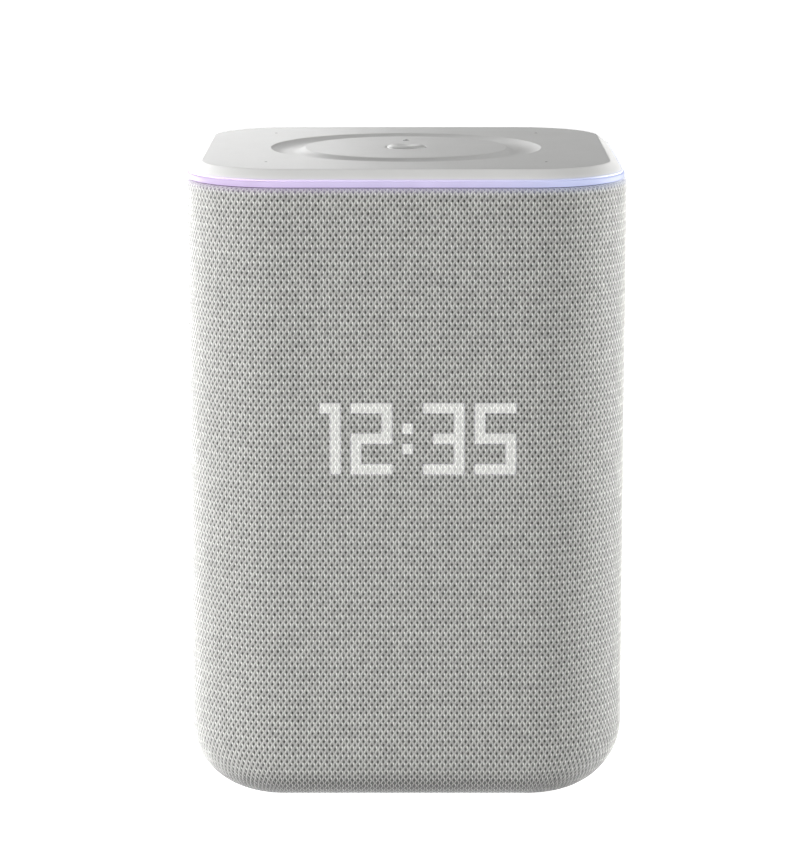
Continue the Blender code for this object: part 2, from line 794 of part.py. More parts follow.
def arc_points(centre, radius, start, end, steps):
    angles = [math.radians(start + (end - start) * step / steps) for step in range(steps + 1)]
    return [(centre[0] + radius * math.cos(a), centre[1] + radius * math.sin(a)) for a in angles]


def surround_outline():
    """Half-roll of rubber, from its flat outer land in to the cone's edge."""
    centre = (29.5, 2.6)
    outer = arc_points(centre, 3.1, 12, 172, 3)
    inner = arc_points(centre, 2.6, 172, 12, 3)
    return mm((35.2, 2.6), (35.2, 3.2), *outer, (26.4, 2.0), (26.9, 2.0), *inner)


def spider_outline():
    """Corrugated cloth ring, from the voice coil out to the basket's shelf."""
    folds = [(10.3, 0.0), (12.5, 0.0), (15.0, 0.9), (18.0, -0.9), (21.0, 0.0), (24.6, 0.0)]
    level = -17.4
    under = [(r, level + lift) for r, lift in folds]
    over = [(r, level + lift + 0.4) for r, lift in reversed(folds)]
    return mm(*under, *over)


def build_woofer(looks):
    place = placed((0, CABINET_FRONT, WOOFER_Z), FACING_FRONT)
    basket = [
        (36, 0.3),
        (36, 2.3),
        (31.2, 2.3),
        (30.4, -5.5),
        (25.0, -16.2),
        (25.0, -17.8),
        (21.6, -17.8),
        (21.6, -20.4),
        (14, -20.4),
        (14, -21.8),
        (23.4, -21.8),
        (23.4, -19.4),
        (26.6, -18.9),
        (26.6, -15.8),
        (31.8, -5.0),
        (32.0, 0.3),
    ]
    frame = turned("woofer_basket", mm(*basket), looks["steel"], place=place)
    slots = []
    slot = placed((30 * MM, 0, -10.5 * MM), FACING_RIGHT)
    for index in range(6):
        spin = Matrix.Rotation(math.radians(60 * index), 4, "Z")
        slots.append(cylinder_at(4.4 * MM, 12 * MM, place @ spin @ slot, 8))
    modifier_with(frame, "DIFFERENCE", helper("basket_slots", slots))
    front_plate = [(10.9, -26.2), (20.5, -26.2), (20.5, -22.1), (10.9, -22.1)]
    turned("woofer_front_plate", mm(*front_plate), looks["zinc"], place=place)
    magnet = [(12.5, -38.5), (24, -38.5), (24, -26.5), (12.5, -26.5)]
    turned("woofer_magnet", mm(*magnet), looks["ferrite"], place=place)
    yoke = [(3, -42.8), (22, -42.8), (22, -38.8), (9.2, -38.8), (9.2, -22.3), (3, -22.3)]
    turned("woofer_yoke", mm(*yoke), looks["zinc"], place=place)
    cone_top = [(26.2, 0.7), (26.2, 1.6), (11.6, -8.9), (10.5, -7.6), (7.5, -5.9), (4, -5.1), (0, -4.8)]
    cap_under = [(0, -5.4), (4, -5.7), (7.2, -6.6), (9.4, -8.2)]
    former = [(9.6, -10), (9.6, -29), (9.9, -29), (9.9, -11.6), (10.6, -11.2)]
    turned("woofer_cone", mm(*cone_top, *cap_under, *former), looks["cone"], place=place)
    coil = [(10.15, -28.8), (10.5, -28.8), (10.5, -23.2), (10.15, -23.2)]
    turned("voice_coil", mm(*coil), looks["copper"], place=place)
    turned("woofer_surround", surround_outline(), looks["soft_rubber"], place=place)
    turned("woofer_spider", spider_outline(), looks["spider"], place=place)


def build_passive(side, looks):
    name = "passive_right" if side > 0 else "passive_left"
    facing = FACING_RIGHT if side > 0 else FACING_LEFT
    place = placed((side * CABINET_HALF_X, PASSIVE_Y, PASSIVE_Z), facing)
    ring = [(36, 0.3), (36, 2.3), (31.0, 2.3), (31.0, -3.0), (32.0, -3.0), (32.0, 0.3)]
    turned(name + "_frame", mm(*ring), looks["inner_plastic"], place=place)
    disc = [(0, 1.6), (26.2, 1.6), (26.2, 0.7), (12, 0.7), (12, -4), (0, -4)]
    turned(name + "_diaphragm", mm(*disc), looks["cone"], place=place)
    turned(name + "_surround", surround_outline(), looks["soft_rubber"], place=place)


def build_tweeter(side, looks):
    name = "tweeter_right" if side > 0 else "tweeter_left"
    place = placed((side * TWEETER_X, CABINET_FRONT, TWEETER_Z), FACING_FRONT)
    flange = [(15.5, 0.3), (15.5, 1.8), (11.8, 1.8), (10.4, 0.2)]
    body = [*flange, (10.4, -6.0), (12.2, -6.0), (12.2, 0.3)]
    turned(name + "_body", mm(*body), looks["inner_plastic"], 16, place)
    dome_over = [(0, 1.2), (4.0, 0.7), (7.2, -0.5), (9.6, -2.2), (9.6, -5.2)]
    dome_under = [(9.2, -5.2), (9.2, -2.4), (7.0, -0.9), (4.0, 0.3), (0, 0.8)]
    turned(name + "_dome", mm(*dome_over, *dome_under), looks["cone"], 16, place)
    pole = [(0, -3.2), (8.7, -3.2), (8.7, -9.0), (10.0, -9.0)]
    motor = [*pole, (10.0, -6.4), (12.0, -6.4), (12.0, -15), (0, -15)]
    turned(name + "_motor", mm(*motor), looks["zinc"], 16, place)


# Display


def build_display(looks):
    half_x = DOT_COLUMNS * DOT_PITCH / 2
    half_z = DOT_ROWS * DOT_PITCH / 2
    board_wall = 1.2 * MM
    box(
        "display_board",
        (2 * half_x + 12 * MM, board_wall, 2 * half_z + 12 * MM),
        (0, DISPLAY_BOARD_Y + board_wall / 2, DISPLAY_Z),
        looks["board"],
    )
    matrix_wall = 1.6 * MM
    box(
        "display_matrix",
        (2 * half_x, matrix_wall, 2 * half_z),
        (0, DISPLAY_BOARD_Y - GAP - matrix_wall / 2, DISPLAY_Z),
        looks["led"],
    )
    place = placed((0, 0, DISPLAY_Z), FACING_FRONT)
    back = -DISPLAY_BOARD_Y + GAP
    front = 70.5 * MM
    loops = [
        rounded_rectangle(half_x + grow, half_z + grow, 0.6 * MM, z, steps=2)
        for grow, z in ((3.4 * MM, back), (3.4 * MM, front), (0.8 * MM, front), (0.8 * MM, back))
    ]
    loft("display_mask", loops, looks["inner_plastic"], place=place)
    box(
        "display_diffuser",
        (2 * half_x + 1.0 * MM, 0.6 * MM, 2 * half_z + 1.0 * MM),
        (0, -front + 0.6 * MM, DISPLAY_Z),
        looks["ribbon"],
    )


# Electronics bay


def build_main_board(looks):
    height = MAIN_BOARD_HIGH - MAIN_BOARD_LOW
    middle = (MAIN_BOARD_HIGH + MAIN_BOARD_LOW) / 2
    centre = (0, MAIN_BOARD_Y + MAIN_BOARD_WALL / 2, middle)
    board = box("main_board", (96 * MM, MAIN_BOARD_WALL, height), centre, looks["board"])
    sunk = MAIN_BOARD_Y + MAIN_BOARD_WALL - 0.2 * MM
    can = 13 * MM
    cans = [placed((x, sunk + can / 2, z), FACING_REAR) for x, z in CAPACITORS]
    parts = [cylinder_at(5 * MM, can, place, 14) for place in cans]
    chip = 1.8 * MM
    parts += [slab_at((wide, chip, high), (x, sunk + chip / 2, z)) for x, z, wide, high in CHIPS]
    modifier_with(board, "UNION", helper("main_board_parts", parts))
    reach = STUD_PIN + GAP
    holes = [cylinder_at(reach, 8 * MM, placed(at, FACING_REAR)) for at in stud_places(MAIN_BOARD_Y)]
    modifier_with(board, "DIFFERENCE", helper("main_board_holes", holes))
    build_heat_sink(looks, sunk + chip + GAP, HEAT_SINK_Z)


def build_heat_sink(looks, y, z):
    """Comb-shaped extrusion: a base with upright fins."""
    base = 2.0 * MM
    fin = 1.2 * MM
    tall = 11.5 * MM
    half = 28 * MM
    count = 9
    pitch = (2 * half - fin) / (count - 1)
    outline = [(-half, y)]
    for index in range(count):
        left = -half + index * pitch
        outline += [(left, y + base + tall), (left + fin, y + base + tall)]
        if index < count - 1:
            outline += [(left + fin, y + base), (left + pitch, y + base)]
    outline.append((half, y))
    loops = [[Vector((x, at_y, level)) for x, at_y in outline] for level in (z - half, z + half)]
    loft("heat_sink", loops, looks["aluminium"], ring=False)


def build_inlet(looks):
    face = MAIN_BOARD_Y + MAIN_BOARD_WALL + GAP
    mouth = POCKET_FLOOR_Y + 0.1 * MM
    centre = (INLET_X, (face + mouth) / 2, POCKET_Z)
    size = (INLET_WIDTH, mouth - face, INLET_HEIGHT)
    body = box("power_inlet", size, centre, looks["component"], 0.4 * MM)
    place = placed((INLET_X, mouth, POCKET_Z), FACING_REAR)
    depth = 10 * MM
    front = 1 * MM  # the pin's tip stands this far inside the mouth
    mouth_cut = cylinder_at(INLET_BORE, 2 * front, place, 16)

    def barrel(bm):
        part = bmesh.new()
        ring = [(INLET_PIN, -front), (INLET_BORE, -front), (INLET_BORE, -depth), (INLET_PIN, -depth)]
        turn_into(part, ring, 16)
        bmesh.ops.recalc_face_normals(part, faces=part.faces[:])
        merge_into(bm, part, place)

    modifier_with(body, "DIFFERENCE", helper("inlet_mouth", [mouth_cut]))
    modifier_with(body, "DIFFERENCE", helper("inlet_barrel", [barrel]))


def build_pocket(looks):
    """Open box in the rear wall, flush with the sleeve. Its floor holds the inlet and the mute button."""
    half_x = POCKET_WIDTH / 2
    half_z = POCKET_HEIGHT / 2
    corner = 5 * MM
    back = POCKET_FLOOR_Y - POCKET_WALL

    def at(inset, z):
        return rounded_rectangle(half_x - inset, half_z - inset, corner - inset, z, steps=4)

    loops = [at(0, back), at(0, HALF), at(POCKET_WALL, HALF), at(POCKET_WALL, POCKET_FLOOR_Y)]
    place = placed((0, 0, POCKET_Z), FACING_REAR)
    pocket = loft("io_pocket", loops, looks["inner_plastic"], ring=False, place=place)
    through = 8 * MM
    inlet_size = (INLET_WIDTH + 2 * GAP, through, INLET_HEIGHT + 2 * GAP)
    mute_place = placed((MUTE_X, POCKET_FLOOR_Y, POCKET_Z), FACING_REAR)
    holes = [
        slab_at(inlet_size, (INLET_X, POCKET_FLOOR_Y, POCKET_Z)),
        cylinder_at(MUTE_RADIUS + GAP, through, mute_place, 16),
    ]
    modifier_with(pocket, "DIFFERENCE", helper("pocket_holes", holes))


def build_mute(looks):
    face = MAIN_BOARD_Y + MAIN_BOARD_WALL + GAP
    edge = MUTE_RADIUS
    cap = [(0, 2.7 * MM), (edge - 0.6 * MM, 2.7 * MM), (edge, 2.1 * MM), (edge, -1.8 * MM)]
    flange = mm((5.3, -1.8), (5.3, -2.8), (1.6, -2.8), (1.6, -9.4), (0, -9.4))
    place = placed((MUTE_X, POCKET_FLOOR_Y, POCKET_Z), FACING_REAR)
    turned("mute_button", [*cap, *flange], looks["cap"], 16, place)
    switch = 4.2 * MM
    centre = (MUTE_X, face + switch / 2, POCKET_Z)
    box("mute_switch", (6 * MM, switch, 6 * MM), centre, looks["component"], 0.4 * MM)


def build_wiring(looks):
    inner = [(2.6, -3.6), (4.4, -3.6), (4.4, -3.3), (2.9, -3.3)]
    outer = [(2.9, 0.3), (4.4, 0.3), (4.4, 1.3), (2.6, 1.3)]
    turned("wire_grommet", mm(*inner, *outer), looks["soft_rubber"], 12, placed(GLAND, FACING_REAR))
    knots = [(27, -39, 78), (30, -28, 84), (33, -4, 96), (31, 22, 107), (30, 38, 108), (30, 47, 108)]
    route = smooth_route([Vector(knot) * MM for knot in knots], 14)
    cable_curve("woofer_cable", route, 1.5 * MM, looks["wire"])
    path = [(51.5, 160), (53, 168), (55, 176), (55.5, 186), (53.5, 196), (51, 204), (50, 210.6)]
    ribbon = swept_ribbon("control_ribbon", mm(*path), 12 * MM, 0.6 * MM, looks["ribbon"])
    ribbon.location.x = RIBBON_X


# Base


def build_base(looks):
    corner = CORNER - FILLET - UNDER_LIP
    step_z = UNDERSIDE + SLEEVE_WALL + FRAME_WALL + 2 * GAP
    flange_top = step_z + 1.8 * MM
    plug = UNDER_OPENING - GAP - 0.1 * MM
    flange = UNDER_OPENING + UNDER_LIP
    groove = UNDERSIDE + 1.5 * MM
    foot_in = FOOT_HALF - FOOT_WIDTH

    def at(half, z):
        return square(half, max(corner - (UNDER_OPENING - half), 3 * MM), z)

    outer = [at(plug, step_z), at(flange, step_z), at(flange, flange_top)]
    loops = [
        at(foot_in - GAP, groove),
        at(FOOT_HALF + GAP, groove),
        at(FOOT_HALF + GAP, UNDERSIDE),
        at(plug, UNDERSIDE),
        *outer,
    ]
    under = [at(foot_in - GAP, UNDERSIDE)]
    base = loft("base_plate", under + loops, looks["rubber"], ring=False)
    post_top = CABINET_LOW - GAP
    post_low = flange_top - 1 * MM
    standing = corners_of(BASE_POST, BASE_POST, (post_top + post_low) / 2)
    posts = [cylinder_at(4.2 * MM, post_top - post_low, placed(spot)) for spot in standing]
    modifier_with(base, "UNION", helper("base_posts", posts))
    sink = 2.2 * MM
    spots = [placed(spot) for spot in corners_of(BASE_POST, BASE_POST, UNDERSIDE)]
    sinks = [cylinder_at(3.6 * MM, 2 * sink, spot, 12) for spot in spots]
    modifier_with(base, "DIFFERENCE", helper("base_sinks", sinks))
    bores = [cylinder_at(BASE_SCREW_HOLE, 40 * MM, spot) for spot in spots]
    modifier_with(base, "DIFFERENCE", helper("base_bores", bores))
    foot_low = 0.0
    foot_high = groove - GAP
    ease = 0.5 * MM
    loops = [
        at(FOOT_HALF - ease, foot_low),
        at(FOOT_HALF, foot_low + ease),
        at(FOOT_HALF, foot_high),
        at(foot_in, foot_high),
        at(foot_in, foot_low + ease),
        at(foot_in + ease, foot_low),
    ]
    loft("foot_ring", loops, looks["soft_rubber"])

    def base_screw(bm):
        screw_into(bm, 3.2 * MM, 1.5 * MM, 1.35 * MM, 17 * MM)

    upside_down = Euler((math.pi, 0, 0))
    seats = corners_of(BASE_POST, BASE_POST, UNDERSIDE + sink - GAP)
    copies("base_screw", [placed(spot, upside_down) for spot in seats], looks["zinc"], base_screw)


def main():
    for old in list(bpy.data.objects):
        bpy.data.objects.remove(old)
    looks = make_materials()
    build_sleeve(looks)
    build_frame(looks)
    build_cap(looks)
    build_button(looks)
    build_status_lens(looks)
    build_light_ring(looks)
    build_control_board(looks)
    build_top_tray(looks)
    build_cabinet(looks)
    build_lid(looks)
    build_woofer(looks)
    for side in (1, -1):
        build_passive(side, looks)
        build_tweeter(side, looks)
    build_display(looks)
    build_main_board(looks)
    build_inlet(looks)
    build_pocket(looks)
    build_mute(looks)
    build_wiring(looks)
    build_base(looks)


main()
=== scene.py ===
"""Looks of the smart speaker: knitted sleeve, moulded cap, lit ring and dot clock.

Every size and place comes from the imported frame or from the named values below, in metres.
The front faces -Y and the object stands on z = 0.
"""

import json
import math

import bmesh
import bpy
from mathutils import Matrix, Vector


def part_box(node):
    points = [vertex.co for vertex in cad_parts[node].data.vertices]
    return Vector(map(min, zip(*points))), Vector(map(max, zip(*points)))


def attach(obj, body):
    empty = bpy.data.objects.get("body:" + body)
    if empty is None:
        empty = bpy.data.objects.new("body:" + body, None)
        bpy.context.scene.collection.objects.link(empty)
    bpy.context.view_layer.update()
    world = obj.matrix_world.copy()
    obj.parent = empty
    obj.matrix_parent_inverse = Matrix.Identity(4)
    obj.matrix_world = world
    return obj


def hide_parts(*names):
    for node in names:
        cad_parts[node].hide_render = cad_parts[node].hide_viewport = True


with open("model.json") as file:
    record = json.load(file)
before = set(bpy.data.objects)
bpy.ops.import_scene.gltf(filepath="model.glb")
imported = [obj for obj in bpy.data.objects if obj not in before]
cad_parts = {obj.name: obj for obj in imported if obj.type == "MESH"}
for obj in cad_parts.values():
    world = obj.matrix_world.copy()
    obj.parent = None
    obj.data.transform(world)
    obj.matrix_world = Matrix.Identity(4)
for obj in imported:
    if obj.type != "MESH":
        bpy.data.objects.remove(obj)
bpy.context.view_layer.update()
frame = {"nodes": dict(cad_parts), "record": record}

MM = 0.001

# Places read from the frame
SLEEVE_LOW, SLEEVE_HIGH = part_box("fabric_sleeve")
_, CAP_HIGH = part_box("top_plate")
RING_LOW, RING_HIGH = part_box("light_ring")
LENS_LOW, LENS_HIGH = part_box("status_lens")
SCREEN_LOW, SCREEN_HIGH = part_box("display_matrix")
POCKET_BACK, POCKET_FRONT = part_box("io_pocket")
POCKET_MIDDLE = (POCKET_BACK + POCKET_FRONT) / 2
POCKET_HALF = (POCKET_FRONT - POCKET_BACK) / 2
LENS_MIDDLE = (LENS_LOW + LENS_HIGH) / 2
HALF = SLEEVE_HIGH.x
TOP = CAP_HIGH.z

# Body shape
CORNER = 33 * MM
FILLET = 24 * MM
LIP = 4 * MM
HEM = 0.8 * MM
HEM_RUN = 1.6 * MM
QUADRANTS = ((1, 1), (-1, 1), (-1, -1), (1, -1))

# Knit: holes in staggered rows
CELLS_AROUND = 280
CELL_HEIGHT = 2.84 * MM
EDGE_STRETCH = 0.55
HOLE_DEPTH = 0.34 * MM
THREAD_RISE = 0.06 * MM
KNIT_BUMP = 0.16 * MM
STRETCH_FROM = 0.60 * FILLET
STRETCH_FULL = 0.28 * FILLET

# Knit's threads, in cells
THREAD_SWING = 0.115
THREAD_LEAN = 0.22
THREAD_WIDTH = 0.18
THREAD_THINNING = 0.07
HOLE_SAG = 0.09
# Where the painted highlight spots sit in each cell
KNOT_ACROSS = 0.23
KNOT_DOWN = 0.32
WANDER_ACROSS = 0.20
WANDER_DOWN = 0.22

# Knit's colours
THREAD_DARK = (0.243, 0.243, 0.233)
THREAD_PALE = (0.41, 0.41, 0.39)
# The brightest colour is a painted highlight for the upper strands and crossings
THREAD_PAINTED_HIGHLIGHT = (0.66, 0.66, 0.635)
GAP_PALE = (0.243, 0.243, 0.233)
GAP_DARK = (0.035, 0.035, 0.033)
GAP_STRETCHED = (0.05, 0.05, 0.047)

# Cap and centre button
CAP_COLUMNS = (36, 20)
TOP_HALF = 68.5 * MM
TOP_CORNER = 28 * MM
CHANNEL_IN = 34.9 * MM
CHANNEL_OUT = 46.9 * MM
CHANNEL_DEPTH = 1.5 * MM
CHANNEL_LOWEST = 0.40
CHANNEL_POWER = 2.4
CHANNEL_STEPS = 26
CHANNEL_EDGE = 0.15 * MM
SHOULDER_ROLL = 1.1 * MM
RIM_GAP = 0.12 * MM
RIM_HEIGHT = 0.45 * MM
RIM_ROLL = 0.45 * MM
RIM_RETURN = 2.4 * MM
BUTTON_RADIUS = 6.75 * MM
BUTTON_HOLE = BUTTON_RADIUS + 0.3 * MM
HOLE_ROLL = 0.35 * MM
HOLE_DROP = 3.0 * MM
CROWN_RADIUS = 6.1 * MM
CROWN_MIDDLE = 0.30 * MM
CROWN_DISH = 0.42 * MM
CROWN_FALL = 0.35 * MM
CROWN_PEAK = 0.78
BUTTON_SKIRT = 2.3 * MM
FLANGE_RADIUS = 8.4 * MM
FLANGE_FOOT = 3.1 * MM
MIC_OFFSET = 46.8 * MM
MIC_RADIUS = 0.5 * MM
MIC_DEPTH = 1.6 * MM
MIC_PROUD = 0.02 * MM

# Status light: its dome as (radius, height) in millimetres, and its stem
LENS_DOME = ((0.0, 0.33), (0.4, 0.31), (0.8, 0.22), (1.1, 0.08), (1.28, -0.12))
STEM_RADIUS = 1.3 * MM
STEM_FOOT = 2.4 * MM

# Light ring
RING_COLUMNS = (60, 32)
RING_ROLL = 0.55 * MM
RING_INSET = 2.0 * MM
RING_TAIL = 5.0 * MM
RING_TAIL_HEIGHT = 1.0 * MM

# Rear pocket's bezel, with the angles round its rolled edges
POCKET_CORNER = 5 * MM
POCKET_WALL = 1.5 * MM
BEZEL_LAP = 0.9 * MM
BEZEL_PROUD = 0.45 * MM
BEZEL_TUCK = 0.6 * MM
BEZEL_OUTER_ROLL = 0.35 * MM
BEZEL_INNER_ROLL = 0.5 * MM
BEZEL_ANGLES = (0, 0.5, 1.0, 1.571)
FLOOR_COVE = 0.6 * MM
WINDOW_EDGE = 0.2 * MM

# Clock
DOT_PITCH = 3.42 * MM
DOT_COLUMNS = 21
DOT_ROWS = 7
CLOCK_TEXT = "12:35"
CLOCK_SHIFT = 0.5 * MM
DIGIT_STEP = 5
COLON_STEP = 2
DOT_BLUR = 0.28 * MM
CLOCK_WHITE = (1.0, 1.0, 0.985)

# Lit ring's colours, from the left side to the right
LILAC = (0.82, 0.62, 1.0)
VIOLET = (0.74, 0.65, 1.0)
PERIWINKLE = (0.58, 0.66, 1.0)

# Stage
FLOOR_GLOW = 1.0
FLOOR_SIZE = 20.0
WORLD_STRENGTH = 0.12
LIGHTS_AIM = 0.12

# Camera: well in front, a little above the object and tilted down
CAMERA_DISTANCE = 1.2
CAMERA_HEIGHT = 0.3458
CAMERA_PITCH = math.radians(10.71)
CAMERA_LENS = 145.9
CAMERA_SHIFT_X = -0.0129


# Node helpers


class Nodes:
    """Builds one material's node tree with short calls."""

    def __init__(self, name):
        self.material = bpy.data.materials.new(name)
        self.material.use_nodes = True
        self.tree = self.material.node_tree
        self.shader = self.tree.nodes["Principled BSDF"]

    def add(self, kind, **settings):
        node = self.tree.nodes.new(kind)
        for key, value in settings.items():
            setattr(node, key, value)
        return node

    def link(self, source, target):
        self.tree.links.new(source, target)

    def feed(self, target, value):
        """Links a socket, or sets a plain value."""
        if isinstance(value, bpy.types.NodeSocket):
            self.link(value, target)
        else:
            target.default_value = value

    def math(self, operation, a, b=0.0, c=0.0):
        node = self.add("ShaderNodeMath", operation=operation)
        for socket, value in zip(node.inputs, (a, b, c)):
            self.feed(socket, value)
        return node.outputs[0]

    def ramp(self, value, low, high, start=0.0, end=1.0):
        """A smooth step of value between low and high."""
        node = self.add("ShaderNodeMapRange", interpolation_type="SMOOTHSTEP")
        for name, number in zip(("From Min", "From Max", "To Min", "To Max"), (low, high, start, end)):
            self.feed(node.inputs[name], number)
        self.feed(node.inputs["Value"], value)
        return node.outputs["Result"]

    def mix(self, share, a, b, blend="MIX"):
        node = self.add("ShaderNodeMix", data_type="RGBA", blend_type=blend)
        self.feed(node.inputs[0], share)
        self.feed(node.inputs[6], a if isinstance(a, bpy.types.NodeSocket) else (*a, 1.0))
        self.feed(node.inputs[7], b if isinstance(b, bpy.types.NodeSocket) else (*b, 1.0))
        return node.outputs[2]

    def noise(self, vector, scale, detail=3.0, roughness=0.55):
        node = self.add("ShaderNodeTexNoise")
        self.link(vector, node.inputs["Vector"])
        node.inputs["Scale"].default_value = scale
        node.inputs["Detail"].default_value = detail
        node.inputs["Roughness"].default_value = roughness
        return node.outputs["Fac"]

    def place(self):
        """The point on the object in metres, whole and as X, Y and Z."""
        vector = self.add("ShaderNodeTexCoord").outputs["Object"]
        split = self.add("ShaderNodeSeparateXYZ")
        self.link(vector, split.inputs[0])
        return vector, split.outputs

    def bump(self, height, distance, strength=1.0, after=None):
        node = self.add("ShaderNodeBump")
        self.link(height, node.inputs["Height"])
        node.inputs["Distance"].default_value = distance
        node.inputs["Strength"].default_value = strength
        if after is not None:
            self.link(after, node.inputs["Normal"])
        return node.outputs["Normal"]

    def set(self, **values):
        for key, value in values.items():
            self.feed(self.shader.inputs[key.replace("_", " ")], value)


def box_mask(nodes, x, z, low, high, blur):
    """1 inside an upright rectangle of the XZ plane, softened over blur."""
    left = nodes.ramp(x, low[0] - blur, low[0] + blur)
    right = nodes.ramp(x, high[0] - blur, high[0] + blur, 1.0, 0.0)
    under = nodes.ramp(z, low[1] - blur, low[1] + blur)
    over = nodes.ramp(z, high[1] - blur, high[1] + blur, 1.0, 0.0)
    return nodes.math("MULTIPLY", nodes.math("MULTIPLY", left, right), nodes.math("MULTIPLY", under, over))


# Clock: which dots are lit, as runs from (column, row) to (column, row), row 0 at the top

STROKES = {
    "top": ((0, 0), (3, 0)),
    "middle": ((0, 3), (3, 3)),
    "short_middle": ((1, 3), (3, 3)),
    "bottom": ((0, 6), (3, 6)),
    "upper_left": ((0, 0), (0, 3)),
    "lower_left": ((0, 3), (0, 6)),
    "upper_right": ((3, 0), (3, 3)),
    "lower_right": ((3, 3), (3, 6)),
    "right": ((3, 0), (3, 6)),
    "flag": ((2, 0), (3, 0)),
    "upper_dot": ((0, 2), (0, 2)),
    "lower_dot": ((0, 4), (0, 4)),
}
GLYPHS = {
    "1": ("flag", "right"),
    "2": ("top", "upper_right", "middle", "lower_left", "bottom"),
    "3": ("top", "short_middle", "bottom", "right"),
    "5": ("top", "upper_left", "middle", "lower_right", "bottom"),
    ":": ("upper_dot", "lower_dot"),
}


def lit_runs():
    """Lit rectangles of the clock in metres, as (low x, low z), (high x, high z)."""
    middle_z = (SCREEN_LOW.z + SCREEN_HIGH.z) / 2
    column = 0
    runs = []
    for letter in CLOCK_TEXT:
        for stroke in GLYPHS[letter]:
            first, last = STROKES[stroke]
            left = column + first[0] - DOT_COLUMNS / 2
            right = column + last[0] + 1 - DOT_COLUMNS / 2
            top = DOT_ROWS / 2 - first[1]
            bottom = DOT_ROWS / 2 - last[1] - 1
            low = (CLOCK_SHIFT + left * DOT_PITCH, middle_z + bottom * DOT_PITCH)
            high = (CLOCK_SHIFT + right * DOT_PITCH, middle_z + top * DOT_PITCH)
            runs.append((low, high))
        column += COLON_STEP if letter == ":" else DIGIT_STEP
    return runs


# Materials


def ring_colour(nodes, x):
    """Lilac on the left, through violet, to periwinkle on the right."""
    left = nodes.mix(nodes.ramp(x, -HALF, 0.0), LILAC, VIOLET)
    return nodes.mix(nodes.ramp(x, 0.0, HALF), left, PERIWINKLE)


def zigzag_threads(nodes, across, down, stretch):
    """Threads of the net, the dark of its holes, and a painted highlight on its upper strands and
    crossings, each 0 to 1.

    across and down count cells. A hole lies at every whole cell and at every half cell both ways. The
    threads swing outward round each hole and pinch together between the holes of one column. Half of
    them lie on top of the others, and rise where they cross. stretch opens the holes.
    """
    turn = 2 * math.pi
    swing = nodes.math("COSINE", nodes.math("MULTIPLY", down, turn))
    lean = nodes.math("SINE", nodes.math("MULTIPLY", down, 3 * turn))
    swing = nodes.math("MULTIPLY_ADD", lean, THREAD_LEAN, swing)
    line = nodes.math("MULTIPLY_ADD", swing, THREAD_SWING, 0.25)
    from_column = nodes.math("PINGPONG", across, 0.5)
    away = nodes.math("ABSOLUTE", nodes.math("SUBTRACT", from_column, line))
    width = nodes.math("MULTIPLY_ADD", stretch, -THREAD_THINNING, THREAD_WIDTH)
    thread = nodes.ramp(away, nodes.math("MULTIPLY", width, 0.4), width, 1.0, 0.0)

    wave_u = nodes.math("COSINE", nodes.math("MULTIPLY", across, turn))
    low = nodes.math("SUBTRACT", down, HOLE_SAG)
    wave_v = nodes.math("COSINE", nodes.math("MULTIPLY", low, turn))
    rim = nodes.math("MULTIPLY_ADD", stretch, -0.25, 0.05)
    middle = nodes.math("MULTIPLY_ADD", stretch, -0.40, 0.9)
    hole = nodes.ramp(nodes.math("MULTIPLY", wave_u, wave_v), rim, middle)

    rising = nodes.math("PINGPONG", nodes.math("ADD", across, down), 0.5)
    upper = nodes.ramp(rising, 0.34, 0.46)
    beside = nodes.math("COSINE", nodes.math("MULTIPLY", nodes.math("ADD", across, KNOT_ACROSS), turn))
    below = nodes.math("COSINE", nodes.math("MULTIPLY", nodes.math("SUBTRACT", down, KNOT_DOWN), turn))
    # Painted highlight spots where the upper strands cross
    painted_crossing_highlight = nodes.math("MULTIPLY", nodes.ramp(beside, 0.3, 1.0), nodes.ramp(below, 0.3, 1.0))
    painted_highlight = nodes.math("MAXIMUM", nodes.math("MULTIPLY", upper, 0.30), painted_crossing_highlight)
    return thread, hole, painted_highlight


def knit_glow(nodes, place, depth, fibres):
    """The clock, on the front only, and painted light from the ring on the first rows, strongest at the
    hem.
    """
    x, y, z = place
    lit = None
    for low, high in lit_runs():
        run = box_mask(nodes, x, z, low, high, DOT_BLUR)
        lit = run if lit is None else nodes.math("MAXIMUM", lit, run)
    lit = nodes.math("MULTIPLY", lit, nodes.math("LESS_THAN", y, 0.0))
    grain = nodes.math("MULTIPLY_ADD", depth, 0.10, nodes.math("MULTIPLY_ADD", fibres, 0.22, 0.20))
    clock = nodes.math("MULTIPLY", lit, grain)

    # Painted light: the ring's colour laid on as emission over the top rows, more at the hem
    painted_ring_light = nodes.ramp(z, SLEEVE_HIGH.z - 3.4 * MM, SLEEVE_HIGH.z - 0.2 * MM)
    hem = nodes.ramp(z, SLEEVE_HIGH.z - 1.5 * MM, SLEEVE_HIGH.z - 0.4 * MM)
    painted_ring_light = nodes.math("MULTIPLY", nodes.math("POWER", painted_ring_light, 2.0), 0.16)
    painted_ring_light = nodes.math("MULTIPLY_ADD", hem, 0.07, painted_ring_light)
    nodes.set(Emission_Strength=nodes.math("ADD", clock, painted_ring_light))
    nodes.set(Emission_Color=nodes.mix(lit, ring_colour(nodes, x), CLOCK_WHITE))


